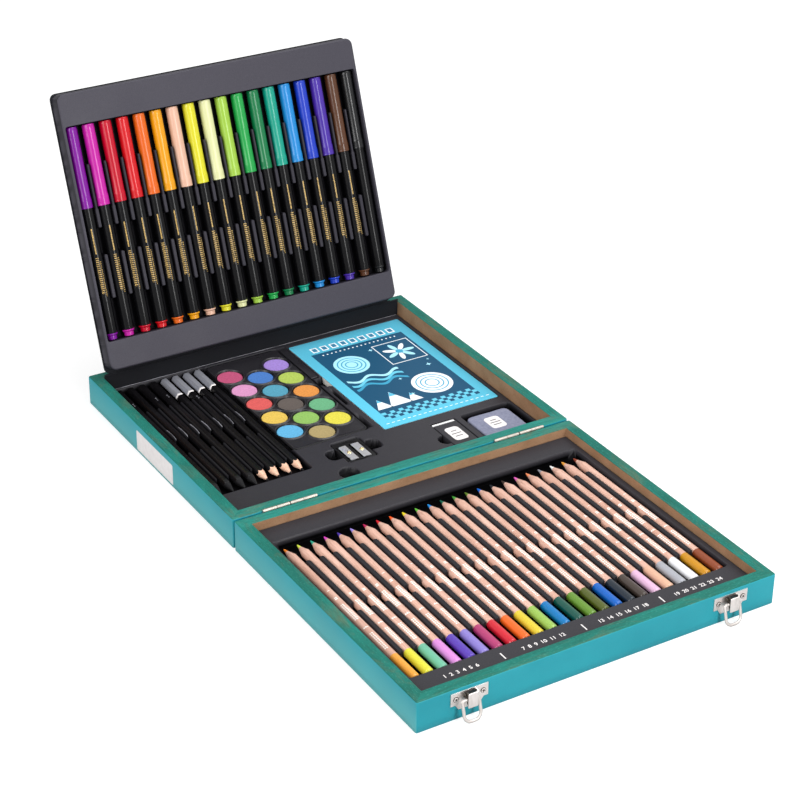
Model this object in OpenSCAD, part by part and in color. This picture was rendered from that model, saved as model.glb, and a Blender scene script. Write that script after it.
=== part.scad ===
// Hinged wooden art case, lying open: a base half with a moulded insert and a
// fold-up marker tray, and a lid half with a row of coloured pencils.
// Millimetres, +Z up. The origin is the centre of the base half's underside.
// +X runs along the seam, +Y runs from the seam to the back of the base half.

/* [Case] */
// Thickness of the wooden side walls
wall_t = 9.5; // [7:0.5:12]
// Height of each half of the case
half_h = 24.5; // [22:0.5:32]
// Thickness of the bottom panels
panel_t = 3; // [2:0.5:4]
// Width of the ledge that each bottom panel is glued into
ledge_w = 4; // [2:0.5:6]
// Radius of the case's upright corners
corner_r = 1.5; // [0.5:0.25:3]
// Gap between the two halves when the case lies open
seam_gap = 2.2; // [1.8:0.1:3]

/* [Moulded inserts] */
// Thickness of the moulded plastic sheet
sheet_t = 1; // [0.6:0.1:1.5]
// Play between an insert and the walls round it
insert_play = 0.3; // [0.1:0.1:1]
// Height of the lid's recess floor above the lid panel
lid_lift = 6.3; // [3:0.1:8]
// Radius of the corners of the recesses
recess_r = 3; // [1:0.5:4]
// Play round each loose piece in its recess
piece_play = 0.6; // [0.3:0.1:1]

/* [Coloured pencils] */
// How many coloured pencils lie in the lid
pencil_n = 24; // [12:1:30]
// Distance from one coloured pencil to the next
pencil_pitch = 10.83; // [10:0.1:12]
// Diameter of a coloured pencil
pencil_d = 7.2; // [6:0.1:8]
// Length of a coloured pencil
pencil_len = 178; // [150:1:185]
// Length of the dipped end
dip_len = 27.5; // [10:0.5:40]
// Length of the sharpened cone, lead included
cone_len = 12; // [8:0.5:18]
// Length of the bare lead
lead_len = 4.5; // [3:0.5:6]
// Width of the insert's strip in front of the pencils
lid_front_strip = 23.3; // [15:0.1:30]
// Room in front of the pencils' tips
tip_room = 6; // [2:0.5:10]
// Width of a rib between two coloured pencils
pencil_rib_w = 2.4; // [1.5:0.1:2.5]

/* [Sketching pencils] */
// How many sketching pencils lie in the base
sketch_n = 8; // [4:1:10]
// Distance from one sketching pencil to the next
sketch_pitch = 9.9; // [9:0.1:12]
// Size of a sketching pencil across its corners
sketch_d = 7.4; // [6:0.1:8]
// Length of a sketching pencil
sketch_len = 177; // [150:1:190]
// Length of a silver end sleeve
sleeve_len = 30; // [15:1:40]
// Room at the front end of the sketching pencils
sketch_front_room = 4.5; // [2:0.5:8]
// Strip of the insert in front of the sketching pencils
sketch_strip = 41.9; // [30:0.1:50]
// Width of a rib between two sketching pencils
sketch_rib_w = 1.6; // [1:0.1:2]

/* [Paints] */
// Diameter of a paint well
well_d = 22.2; // [18:0.1:23]
// Depth of a paint well
well_depth = 2.2; // [1.5:0.1:4]
// Thickness of a paint tablet
paint_t = 1.5; // [1:0.1:2]
// Distance from one column of wells to the next
well_pitch_x = 21.2; // [21:0.1:26]
// Distance from one well to the next in a column
well_pitch_y = 25.1; // [24:0.1:28]
// How many wells each column has
well_rows = 5; // [3:1:5]

/* [Sketch pad] */
// Width of the sketch pad
pad_w = 105; // [90:1:120]
// Length of the sketch pad
pad_l = 155; // [130:1:160]
// Thickness of the pad, cover included
pad_t = 6; // [4:0.5:7]
// Thickness of the pad's cover
cover_t = 0.6; // [0.4:0.1:1]

/* [Small tools] */
// Width of the sharpener
sharpener_w = 24; // [20:0.5:26]
// Length of the sharpener
sharpener_l = 30; // [25:0.5:32]
// Height of the sharpener
sharpener_h = 8; // [6:0.1:9]
// Width of the kneaded eraser
kneaded_w = 38; // [30:0.5:40]
// Length of the kneaded eraser
kneaded_l = 40; // [30:0.5:42]
// Height of the kneaded eraser
kneaded_h = 7.5; // [5:0.1:8]
// Width of the block eraser
block_w = 21; // [16:0.5:24]
// Length of the block eraser
block_l = 45; // [35:0.5:48]
// Height of the block eraser
block_h = 8; // [6:0.1:9]
// Thickness of the card sleeve on the block eraser
card_t = 0.5; // [0.3:0.1:1]

/* [Marker tray] */
// How many markers the tray holds
marker_n = 18; // [10:1:18]
// Distance from one marker to the next
marker_pitch = 14.4; // [13:0.1:14.5]
// Diameter of a marker's barrel
barrel_d = 9.8; // [8:0.1:10]
// Diameter of a marker's cap
cap_d = 10.8; // [10:0.1:11.5]
// Length of a marker, cap on
marker_len = 169; // [140:1:172]
// Length of a marker's cap
cap_len = 64; // [50:1:70]
// Length of the plug in the end of a marker
plug_len = 5.3; // [4:0.1:8]
// Width of the tray's face beside the markers
tray_edge = 3.3; // [2.5:0.1:5]
// Height of the tray's face under the markers
tray_foot = 27.6; // [15:0.1:40]
// Height of the tray's face above the markers
tray_head = 26.3; // [15:0.1:30]
// Thickness of the tray, backing board included
tray_t = 14; // [13:0.5:16]
// Thickness of the tray's backing board
board_t = 1.8; // [1.2:0.1:2.5]
// Width of the board that shows below the moulded face
board_lip = 4.5; // [3:0.1:8]
// How far the standing tray leans back, in degrees
tray_lean = 20.3; // [10:0.1:30]
// How far left of the middle the tray is fixed
tray_shift = 3; // [0:0.1:4]
// Space under the tray when it is folded down
fold_clear = 0.6; // [0.4:0.1:2]
// Space between the folded tray and the front wall
tray_gap = 2; // [1:0.1:5]
// Thickness of the spine strip
spine_t = 0.8; // [0.5:0.1:1]

/* [Hinges] */
// Length of a butt hinge
hinge_l = 43.5; // [30:0.5:50]
// Distance from the case's side to the middle of a hinge
hinge_inset = 46; // [30:0.5:60]
// Radius of a hinge knuckle
knuckle_r = 1.35; // [1.2:0.05:1.6]
// Radius of a hinge pin
hinge_pin_r = 0.7; // [0.5:0.05:0.8]
// Thickness of a hinge leaf
leaf_t = 0.75; // [0.5:0.05:0.8]
// Height of a hinge leaf below the pin
leaf_h = 13; // [8:0.5:16]
// Space that a hinge part leaves round the other leaf's knuckles
knuckle_gap = 0.3; // [0.2:0.05:0.5]

/* [Latches] */
// Distance from the case's side to the middle of a latch
latch_inset = 39.5; // [30:0.5:60]
// Distance from the rim to the latch plate
latch_drop = 3; // [2:0.1:5]
// Width of a latch plate
plate_w = 28.5; // [26:0.5:32]
// Height of a latch plate's ears
ear_h = 9.6; // [8:0.1:11]
// Height of a latch plate in the middle
tongue_h = 13.5; // [12:0.1:16]
// Thickness of the latch's sheet metal
latch_t = 0.8; // [0.6:0.05:1]
// Width of a latch lever
lever_w = 8.4; // [7:0.1:9]
// Length of a latch lever below its pivot
lever_l = 9; // [7:0.1:10]
// Distance from the case to the lever's pivot
pivot_out = 2.4; // [2.2:0.1:3]
// Radius of the lever's pivot pin
pivot_r = 0.6; // [0.5:0.05:0.7]
// Distance from the lever's pivot out to the bail's pivot
bail_out = 1.5; // [1:0.1:1.8]
// Distance from the lever's pivot down to the bail's pivot
bail_drop = 3.1; // [3:0.1:4]
// Radius of the bail's wire
wire_r = 1.1; // [0.7:0.05:1.2]
// Width of the bail, from the middle of one leg to the other
bail_w = 14.2; // [13.8:0.1:16]
// Running clearance on each pin
pin_play = 0.05; // [0.02:0.01:0.08]

/* [Hidden] */

cut = 1; // how far a cutting shape runs past the face that it opens

// Room that the base's contents, the lid's pencils and the folded tray need
bay_edge = 4.5; // strip of the insert beside the outermost recesses
bay_back = 2.6; // strip of the insert behind the long recesses
well_strip = 0.9; // strip between the sketching pencils and the wells
pad_strip = 9.1; // strip between the wells and the pad
pad_back = 8.5; // from the back wall to the pad
tool_gap = 9; // strip between the pad and the small tools
kneaded_front = 8; // from the front wall to the kneaded eraser
block_front = 7; // from the front wall to the block eraser
kneaded_room = 8; // finger room round the kneaded eraser, most of it behind and on the right
tools_l = max(kneaded_front + kneaded_l + kneaded_room - 3, block_front + block_l + piece_play);
bay_w = (sketch_n - 1) * sketch_pitch + sketch_d + 2 * piece_play + 2.6;
bay_l = sketch_len + sketch_front_room + 2;
wells_w = 2 * well_pitch_x + well_d;
pad_bay_w = pad_w + 2 * piece_play;
pencil_bay_w = (pencil_n - 1) * pencil_pitch + pencil_d + 2 * piece_play + 2.5;
pencil_bay_l = pencil_len + tip_room + 1.3;
marker_bay_w = (marker_n - 1) * marker_pitch + cap_d + 2 * piece_play;
marker_bay_l = marker_len + 2 * piece_play;
tray_w = marker_bay_w + 2 * tray_edge;
tray_l = tray_foot + marker_bay_l + tray_head;
inner_w = max(bay_edge + bay_w + well_strip + wells_w + pad_strip + pad_bay_w + bay_edge,
    pencil_bay_w + 2 * bay_edge, tray_w + 2 * tray_shift + 2);
inner_d = max(sketch_strip + bay_l + bay_back, lid_front_strip + pencil_bay_l + bay_edge,
    tray_l + 2 * spine_t + tray_gap, pad_back + pad_l + piece_play + tool_gap + tools_l);
case_w = inner_w + 2 * wall_t;
half_d = inner_d + 2 * wall_t;

// Main levels and lines
base_back = half_d / 2;
base_front = -half_d / 2;
hinge_y = base_front - seam_gap / 2;
lid_cy = hinge_y - seam_gap / 2 - half_d / 2;
lid_front = lid_cy - half_d / 2;
inner_left = -inner_w / 2;
inner_back = inner_d / 2;
inner_front = -inner_d / 2;
base_top = panel_t + max(sketch_d, sharpener_h, kneaded_h, block_h) + sheet_t + 0.5;
lid_top = panel_t + lid_lift + sheet_t + pencil_d;

// Places and finger notches in the base insert
bay_cx = inner_left + bay_edge + bay_w / 2;
bay_cy = inner_front + sketch_strip + bay_l / 2;
wells_left = inner_left + bay_edge + bay_w + well_strip + well_d / 2;
wells_back = inner_back - 28 + (well_rows - 5) * well_pitch_y / 2;
pad_cx = inner_w / 2 - bay_edge - pad_bay_w / 2;
pad_cy = inner_back - pad_back - pad_l / 2;
sharpener_cx = wells_left + 1.32 * well_pitch_x;
sharpener_cy = inner_front + 50;
kneaded_cx = inner_w / 2 - 28;
kneaded_cy = inner_front + kneaded_front + kneaded_l / 2;
block_cx = kneaded_cx - kneaded_w / 2 - 8 - block_w / 2;
block_cy = inner_front + block_front + block_l / 2;
pad_notch_y = 12; // finger notch beside the pad, behind the pad's middle
pad_notch_r = 8;
lobe_w = 12; // finger room on each side of the sharpener
lobe_l = 14;
dimple_dx = 20; // dimple in front of the sharpener, on its left
dimple_dy = 28;
dimple_r = 8;
dimple_depth = 6;
block_notch_r = 6.5;
rib_h = 0.9; // a rib's height as a share of the pencil's
sketch_flat = sketch_d * cos(30); // a sketching pencil's size across its flats

// The tray turns on the bead along the top of the spine strip
bead_r = spine_t;
fold_y = inner_back - bead_r;
fold_z = base_top + tray_t - board_t / 2 + fold_clear;
tray_cx = -tray_shift;
tray_face = tray_t - board_t / 2; // from the fold line's plane to the tray's face
marker_axis = tray_face - cap_d / 2 - 0.4;

// Latch places: out is measured from the wooden face, up from the table
latch_x = case_w / 2 - latch_inset;
plate_top = half_h - latch_drop;
pivot_z = plate_top - 2.5;
bail_z = pivot_z - bail_drop;
bail_y = pivot_out + bail_out;
bail_rise = bail_z - wire_r - 0.2; // height of the bail's pivot over its lowest point
bail_tilt = 15.5; // the hanging bail rests on the lever, tilted out by these degrees
bail_len = bail_rise / cos(bail_tilt);
lug_t = latch_t;
lug_in = lever_w / 2 + 0.3;
strike_w = 22;
strike_h = 9;

// ---------- shared shapes ----------
module rounded(w, d, r) {
    square([w - 2 * r, d], center = true);
    square([w, d - 2 * r], center = true);
    for (sx = [-1, 1], sy = [-1, 1])
        translate([sx * (w / 2 - r), sy * (d / 2 - r)]) circle(r, $fn = 32);
}

module block(w, d, z0, z1, r) {
    translate([0, 0, z0]) linear_extrude(z1 - z0) rounded(w, d, r);
}

// Rod along +X, centred on x = 0
module rod_x(r, l, fn = 32) {
    rotate([0, 90, 0]) cylinder(r = r, h = l, center = true, $fn = fn);
}

// Rod from y = 0 towards -Y
module rod_out(r, l, fn = 24) {
    rotate([90, 0, 0]) cylinder(r = r, h = l, $fn = fn);
}

// Flat shape drawn in X and Z, standing from y = -d0 to y = -d1
module slab(d0, d1) {
    translate([0, -d0, 0]) rotate([90, 0, 0]) linear_extrude(d1 - d0) children();
}

// Rib with round ends that lies along Y
module rib(w, y0, y1, z0, z1) {
    translate([0, (y0 + y1) / 2, z0]) linear_extrude(z1 - z0) {
        square([w, y1 - y0 - w], center = true);
        for (s = [-1, 1]) translate([0, s * (y1 - y0 - w) / 2]) circle(w / 2, $fn = 24);
    }
}

module on_lid() {
    translate([0, lid_cy, 0]) children();
}

// Frame of a latch: x along the seam, -y out of the lid's front face
module at_latch(side) {
    translate([side * latch_x, lid_front, 0]) children();
}

// Frame of a strike, on the base's back face, turned to face +Y
module at_strike(side) {
    translate([side * latch_x, base_back, 0]) rotate([0, 0, 180]) children();
}

// Frame of a hinge: x along its pin
module at_hinge(side) {
    translate([side * (case_w / 2 - hinge_inset), hinge_y, half_h]) children();
}

// ---------- wooden halves ----------
module hinge_rebates() {
    for (side = [-1, 1]) at_hinge(side) rod_x(knuckle_r + knuckle_gap, hinge_l + 3);
}

// Screw places on one hinge leaf, as distances along the hinge
leaf_screw_x = [-hinge_l / 3, 0, hinge_l / 3];
leaf_screw_z = half_h - 0.62 * leaf_h;
leaf_hole_r = 1.7;
shank_r = 0.9;
shank_l = 7;
bore_play = 0.05;

// Shank holes for the leaf screws, running from the seam into one half
module leaf_screw_holes(dir) {
    for (side = [-1, 1], x = leaf_screw_x)
        at_hinge(side) translate([x, dir * (seam_gap / 2 - cut), leaf_screw_z - half_h])
            rotate([-dir * 90, 0, 0]) cylinder(r = shank_r + bore_play, h = shank_l + cut + 0.5, $fn = 24);
}

// The four walls of one half, with a ledge underneath for the panel
module half_walls() {
    difference() {
        block(case_w, half_d, 0, half_h, corner_r);
        translate([0, 0, -cut]) linear_extrude(half_h + 2 * cut) square([inner_w, inner_d], center = true);
        translate([0, 0, -cut]) linear_extrude(panel_t + cut)
            square([inner_w + 2 * ledge_w, inner_d + 2 * ledge_w], center = true);
    }
}

module half_panel() {
    linear_extrude(panel_t) square([inner_w + 2 * ledge_w, inner_d + 2 * ledge_w], center = true);
}

latch_screw_x = plate_w / 2 - 3.9;
latch_screw_z = plate_top - 5;
strike_screw_x = 8.2;
strike_screw_z = half_h - latch_drop - 4.2;

module base_walls() {
    color("#1F9DA8") difference() {
        half_walls();
        hinge_rebates();
        leaf_screw_holes(1);
        for (side = [-1, 1], s = [-1, 1]) at_strike(side)
            translate([s * strike_screw_x, shank_l + 0.5, strike_screw_z])
                rod_out(shank_r + bore_play, shank_l + 0.5 + cut);
    }
}

module base_panel() {
    color("#B08A5E") half_panel();
}

module lid_walls() {
    color("#1F9DA8") difference() {
        on_lid() half_walls();
        hinge_rebates();
        leaf_screw_holes(-1);
        for (side = [-1, 1], s = [-1, 1]) at_latch(side)
            translate([s * latch_screw_x, shank_l + 0.5, latch_screw_z])
                rod_out(shank_r + bore_play, shank_l + 0.5 + cut);
    }
}

module lid_panel() {
    color("#B08A5E") on_lid() half_panel();
}

label_w = 62;
label_h = 17;
label_t = 0.2;
label_y = 4; // middle of the label
label_z = half_h / 2 - 1.5;

module side_label() {
    color("white") translate([-case_w / 2, label_y, label_z]) rotate([0, -90, 0])
        linear_extrude(label_t) rounded(label_h, label_w, 1);
}

// ---------- moulded inserts ----------
// A moulded insert: a sheet with a skirt down to the panel and recesses pressed
// into it. children(0) is the recesses, and children(1) the same grown by sheet_t.
module moulded(top) {
    w = inner_w - 2 * insert_play;
    d = inner_d - 2 * insert_play;
    difference() {
        block(w, d, panel_t, top, 1);
        difference() {
            block(w - 2 * sheet_t, d - 2 * sheet_t, panel_t - cut, top - sheet_t, 0.5);
            children(1);
        }
        children(0);
    }
}

// One recess with rounded corners, cut down from the top of an insert
module recess(x, y, w, l, top, depth, grow, r = recess_r) {
    translate([x, y, 0]) block(w + 2 * grow, l + 2 * grow, top - depth - grow, top + cut, r + grow);
}

module scoop(x, y, r, top, depth, grow) {
    translate([x, y, top - depth - grow]) cylinder(r = r + grow, h = depth + grow + cut, $fn = 40);
}

// Middle of each paint well: the middle column sits half a step further forward
function well_places() = [for (c = [0:2], i = [0:well_rows - 1])
    [wells_left + c * well_pitch_x, wells_back - (i + (c == 1 ? 0.5 : 0)) * well_pitch_y]];

function sketch_x(i) = bay_cx + (i - (sketch_n - 1) / 2) * sketch_pitch;
function pencil_x(i) = (i - (pencil_n - 1) / 2) * pencil_pitch;
function marker_x(i) = (i - (marker_n - 1) / 2) * marker_pitch;
function evens(n) = [for (i = [0:1:n - 1]) if (i < n / 2) i];
function odds(n) = [for (i = [0:1:n - 1]) if (i >= n / 2) i];

module base_recesses(g) {
    top = base_top;
    recess(bay_cx, bay_cy, bay_w, bay_l, top, sketch_flat, g);
    recess(pad_cx, pad_cy, pad_bay_w, pad_l + 2 * piece_play, top, pad_t, g);
    scoop(pad_cx - pad_bay_w / 2, pad_cy + pad_notch_y, pad_notch_r, top, pad_t, g);
    recess(sharpener_cx, sharpener_cy, sharpener_w + 2 * piece_play, sharpener_l + 2 * piece_play,
        top, sharpener_h, g);
    for (s = [-1, 1]) recess(sharpener_cx + s * (sharpener_w / 2 + 5), sharpener_cy, lobe_w, lobe_l,
        top, sharpener_h - 1, g);
    scoop(sharpener_cx - dimple_dx, sharpener_cy - dimple_dy, dimple_r, top, dimple_depth, g);
    recess(kneaded_cx + 2, kneaded_cy + 2, kneaded_w + kneaded_room, kneaded_l + kneaded_room - 2,
        top, kneaded_h, g);
    recess(block_cx, block_cy, block_w + 2 * piece_play, block_l + 2 * piece_play, top, block_h, g, 1);
    scoop(block_cx - block_w / 2 - 1, block_cy - 2, block_notch_r, top, block_h - 1, g);
    for (p = well_places()) translate([p[0], p[1], top - well_depth - g])
        cylinder(r = well_d / 2 + g, h = well_depth + g + cut, $fn = 48);
}

// Ribs that part the sketching pencils, standing on the recess floor
module sketch_ribs() {
    floor_z = base_top - sketch_flat;
    for (i = [0:sketch_n - 2])
        translate([(sketch_x(i) + sketch_x(i + 1)) / 2, bay_cy - bay_l / 2, 0])
            rib(sketch_rib_w, 0.23 * bay_l, 0.53 * bay_l,
                floor_z - sheet_t / 2, floor_z + rib_h * sketch_flat);
}

module base_insert() {
    color("#2B2B30") {
        moulded(base_top) {
            base_recesses(0);
            base_recesses(sheet_t);
        }
        sketch_ribs();
    }
}

module lid_recess(g) {
    recess(0, inner_front + lid_front_strip + pencil_bay_l / 2, pencil_bay_w, pencil_bay_l,
        lid_top, pencil_d, g);
}

// Two rows of ribs that part the coloured pencils
module pencil_ribs() {
    floor_z = lid_top - pencil_d;
    y0 = inner_front + lid_front_strip;
    for (i = [0:pencil_n - 2], row = [[0.15, 0.45], [0.5, 0.83]])
        translate([(pencil_x(i) + pencil_x(i + 1)) / 2, y0, 0])
            rib(pencil_rib_w, row[0] * pencil_bay_l, row[1] * pencil_bay_l,
                floor_z - sheet_t / 2, floor_z + rib_h * pencil_d);
}

module pencil_insert() {
    color("#2B2B30") on_lid() {
        moulded(lid_top) {
            lid_recess(0);
            lid_recess(sheet_t);
        }
        pencil_ribs();
    }
}

// Spine strip: it stands on the base insert against the back wall, and its
// rolled top edge is what the marker tray turns on
module spine_strip() {
    w = inner_w - 2 * insert_play;
    color("#1B1B1E") union() {
        translate([-w / 2, inner_back - spine_t, base_top]) cube([w, spine_t, fold_z - base_top]);
        translate([0, fold_y, fold_z]) rod_x(bead_r, w);
    }
}

// ---------- sketching pencils ----------
module sketch_rods(list, y0, y1) {
    for (i = list) translate([sketch_x(i), y1, base_top - sketch_flat / 2])
        rotate([90, 0, 0]) cylinder(r = sketch_d / 2, h = y1 - y0, $fn = 6);
}

sketch_front = bay_cy - bay_l / 2 + sketch_front_room;
sketch_back = sketch_front + sketch_len;
sketch_cone = 10; // length of the sharpened cone
sketch_lead = 3; // length of the bare lead
sketch_tip_r = 0.35;

// Pointed ends: a cone from the barrel to the lead
module sketch_cones(list, r0, r1, y0, y1) {
    for (i = list) translate([sketch_x(i), y1, base_top - sketch_flat / 2])
        rotate([90, 0, 0]) cylinder(r1 = r0, r2 = r1, h = y1 - y0, $fn = 32);
}

function sketch_taper(y) = sketch_tip_r + (sketch_flat / 2 - sketch_tip_r) * (y - sketch_front) / sketch_cone;

module sketch_barrels() {
    color("#17171A") {
        sketch_rods(evens(sketch_n), sketch_front + sketch_cone, sketch_back);
        sketch_rods(odds(sketch_n), sketch_front + sketch_cone, sketch_back - sleeve_len);
    }
}

module sketch_wood_tips() {
    color("#E3BFA6") sketch_cones(odds(sketch_n), sketch_flat / 2, sketch_taper(sketch_front + sketch_lead),
        sketch_front + sketch_lead, sketch_front + sketch_cone);
}

module sketch_leads() {
    color("#2A2A2C") {
        sketch_cones(odds(sketch_n), sketch_taper(sketch_front + sketch_lead), sketch_tip_r,
            sketch_front, sketch_front + sketch_lead);
        sketch_cones(evens(sketch_n), sketch_flat / 2, 2 * sketch_tip_r,
            sketch_front, sketch_front + sketch_cone);
    }
}

module sketch_sleeves() {
    color("silver") sketch_rods(odds(sketch_n), sketch_back - sleeve_len, sketch_back);
}

// ---------- paints, pad and small tools ----------
module paint_tablets() {
    color("#6FB8D8") for (p = well_places())
        translate([p[0], p[1], base_top - well_depth]) cylinder(r = well_d / 2 - 0.6, h = paint_t, $fn = 48);
}

module pad_sheet(z0, z1) {
    translate([pad_cx, pad_cy, 0]) block(pad_w, pad_l, z0, z1, 1.5);
}

module pad_pages() {
    color("white") pad_sheet(base_top - pad_t, base_top - cover_t);
}

module pad_cover() {
    color("#5EC6E4") pad_sheet(base_top - cover_t, base_top);
}

blade_w = 7;
blade_l = 21;
blade_t = 0.5;
blade_pitch = 11;
blade_z = base_top - blade_t - 0.4; // underside of the blades
slot_w = 2.4; // slot beside each blade that the shavings leave by
tool_hole_r = 3.2; // hole that a pencil goes into
screw_head_r = 1.7;

module blade_places() {
    for (s = [-1, 1]) translate([sharpener_cx + s * blade_pitch / 2, sharpener_cy - 1, 0]) children();
}

module sharpener_body() {
    z0 = base_top - sharpener_h;
    color("#151517") difference() {
        translate([sharpener_cx, sharpener_cy, 0]) block(sharpener_w, sharpener_l, z0, blade_z, 3);
        blade_places() translate([0, sharpener_l / 2 + 1 + cut, (z0 + blade_z) / 2])
            rod_out(tool_hole_r, 0.6 * sharpener_l + cut);
        blade_places() translate([-blade_w / 2 - 0.6 * slot_w, -blade_l / 2, blade_z - slot_w])
            cube([slot_w, blade_l, slot_w + cut]);
    }
}

module sharpener_blades() {
    color("silver") blade_places()
        translate([-blade_w / 2, -blade_l / 2, blade_z]) cube([blade_w, blade_l, blade_t]);
}

module sharpener_screws() {
    color("#C9B37A") blade_places() translate([0.6, 0.5, blade_z + blade_t])
        cylinder(r = screw_head_r, h = base_top - blade_z - blade_t, $fn = 24);
}

module kneaded_eraser() {
    color("#8F919C") translate([kneaded_cx, kneaded_cy, 0])
        block(kneaded_w, kneaded_l, base_top - kneaded_h, base_top, 3);
}

module block_eraser() {
    color("#E9E9EA") translate([block_cx, block_cy, 0])
        block(block_w - 2 * card_t, block_l, base_top - block_h + card_t, base_top - card_t, 1);
}

// Card sleeve: a tube round the block, short of the block's back end
module block_sleeve() {
    l = block_l - 2; // the block shows behind the sleeve for this difference
    color("#26262A") translate([block_cx, block_cy - 1, 0]) difference() {
        translate([-block_w / 2, -l / 2, base_top - block_h]) cube([block_w, l, block_h]);
        translate([-block_w / 2 + card_t, -l / 2 - cut, base_top - block_h + card_t])
            cube([block_w - 2 * card_t, l + 2 * cut, block_h - 2 * card_t]);
    }
}

// ---------- coloured pencils ----------
pencil_end = inner_front + lid_front_strip + 0.6; // dipped ends, in the lid's own frame
pencil_z = lid_top - pencil_d / 2;

// Cylinders or cones in each pencil's place, between two distances from the dipped end
module pencil_parts(s0, s1, r0, r1) {
    on_lid() for (i = [0:pencil_n - 1])
        translate([pencil_x(i), pencil_end + s0, pencil_z]) rotate([-90, 0, 0])
            cylinder(r1 = r0, r2 = r1, h = s1 - s0, $fn = 32);
}

lead_r = 1.3;

module pencil_wood() {
    color("#E8C9B2") {
        pencil_parts(dip_len, pencil_len - cone_len, pencil_d / 2, pencil_d / 2);
        pencil_parts(pencil_len - cone_len, pencil_len - lead_len, pencil_d / 2, lead_r);
    }
}

module pencil_leads() {
    color("#E0662A") pencil_parts(pencil_len - lead_len, pencil_len, lead_r, 0.35);
}

module pencil_dips() {
    color("#7A4FC0") {
        pencil_parts(0.8, dip_len, pencil_d / 2, pencil_d / 2);
        pencil_parts(0, 0.8, pencil_d / 2 - 0.8, pencil_d / 2);
    }
}

// ---------- marker tray ----------
// Frame of the standing tray: x along the fold, z up its face, -y out of its face
module on_tray() {
    translate([tray_cx, fold_y, fold_z]) rotate([-tray_lean, 0, 0]) children();
}

module tray_board() {
    start = bead_r + knuckle_gap;
    color("#1B1B1E") on_tray() slab(-board_t / 2, board_t / 2)
        translate([0, (start + tray_l) / 2]) rounded(tray_w, tray_l - start, 1);
}

// Recess for the markers, grown by the sheet's thickness for the underside
module marker_recess(g) {
    d0 = marker_axis - cap_d / 2 - g;
    slab(d0, tray_face + cut) translate([0, tray_foot + marker_bay_l / 2])
        rounded(marker_bay_w + 2 * g, marker_bay_l + 2 * g, recess_r + g);
}

marker_rib_h = 0.82 * cap_d;

module marker_ribs() {
    floor_d = marker_axis - cap_d / 2;
    narrow = marker_pitch - cap_d - 1.7;
    wide = marker_pitch - barrel_d - 1.5;
    for (i = [0:marker_n - 2]) translate([(marker_x(i) + marker_x(i + 1)) / 2, 0, 0]) {
        for (row = [[0.19, 0.4, wide], [0.52, 0.66, wide], [0.64, 0.82, narrow]])
            translate([0, -floor_d + shell_t / 2, tray_foot]) rotate([90, 0, 0])
                rib(row[2], row[0] * marker_bay_l, row[1] * marker_bay_l, 0, marker_rib_h + shell_t / 2);
    }
}

shell_t = 0.5; // thickness of the tray's moulded face
tray_r = 6; // radius of the moulded face's corners

module tray_shell() {
    l = tray_l - board_lip;
    color("#333338") on_tray() {
        difference() {
            slab(board_t / 2, tray_face) translate([0, board_lip + l / 2]) rounded(tray_w, l, tray_r);
            difference() {
                slab(board_t / 2 - cut, tray_face - shell_t) translate([0, board_lip + l / 2])
                    rounded(tray_w - 2 * shell_t, l - 2 * shell_t, tray_r - shell_t);
                marker_recess(shell_t);
            }
            marker_recess(0);
        }
        marker_ribs();
    }
}

// Cylinders or cones in each marker's place, between two distances from its lower end
module marker_parts(s0, s1, r0, r1) {
    on_tray() for (i = [0:marker_n - 1])
        translate([marker_x(i), -marker_axis, tray_foot + piece_play + s0])
            cylinder(r1 = r0, r2 = r1, h = s1 - s0, $fn = 32);
}

module marker_barrels() {
    color("#141416") marker_parts(plug_len, marker_len - cap_len, barrel_d / 2, barrel_d / 2);
}

module marker_caps() {
    color("#D01E2A") {
        marker_parts(marker_len - cap_len, marker_len - 1, cap_d / 2, cap_d / 2);
        marker_parts(marker_len - 1, marker_len, cap_d / 2, cap_d / 2 - 0.6);
    }
}

module marker_plugs() {
    color("#D01E2A") {
        marker_parts(plug_len - 1.2, plug_len, barrel_d / 2, barrel_d / 2);
        marker_parts(0, plug_len - 1.2, barrel_d / 2 - 1, barrel_d / 2 - 0.9);
    }
}

// ---------- hinges ----------
// The end knuckles, a quarter of the hinge each, belong to the base leaf, and
// the middle one, half of the hinge, to the lid leaf
end_knuckle = hinge_l / 4;
knuckle_end_gap = 0.15;

module knuckles(dir, r, play) {
    if (dir > 0) for (s = [-1, 1])
        translate([s * (hinge_l - end_knuckle) / 2, 0, 0]) rod_x(r, end_knuckle + 2 * play);
    else
        rod_x(r, hinge_l / 2 - 2 * knuckle_end_gap + 2 * play);
}

// One leaf with its knuckles: dir is 1 for the base and -1 for the lid
module leaf(dir) {
    y_face = dir * seam_gap / 2;
    difference() {
        union() {
            translate([-hinge_l / 2, min(y_face, y_face - dir * leaf_t), -leaf_h])
                cube([hinge_l, leaf_t, leaf_h]);
            knuckles(dir, knuckle_r, 0);
        }
        knuckles(-dir, knuckle_r + knuckle_gap, knuckle_end_gap);
        rod_x(hinge_pin_r + pin_play, hinge_l + 2 * cut);
        for (x = leaf_screw_x) translate([x, y_face, leaf_screw_z - half_h])
            rotate([90, 0, 0]) cylinder(r = leaf_hole_r, h = 4 * leaf_t, center = true, $fn = 24);
    }
}

module hinge_pin(side) {
    color("silver") at_hinge(side) {
        rod_x(hinge_pin_r, hinge_l + 0.8);
        for (s = [-1, 1]) translate([s * (hinge_l / 2 + 0.25), 0, 0]) rod_x(knuckle_r - 0.15, 0.5);
    }
}

// Flat-headed screws that fill the holes of a leaf and run into the wood
module leaf_screws(dir) {
    color("silver") for (side = [-1, 1], x = leaf_screw_x)
        at_hinge(side) translate([x, dir * (seam_gap / 2 - leaf_t), leaf_screw_z - half_h])
            rotate([-dir * 90, 0, 0]) {
                cylinder(r = leaf_hole_r - bore_play, h = leaf_t, $fn = 24);
                cylinder(r = shank_r, h = leaf_t + shank_l, $fn = 24);
            }
}

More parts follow.
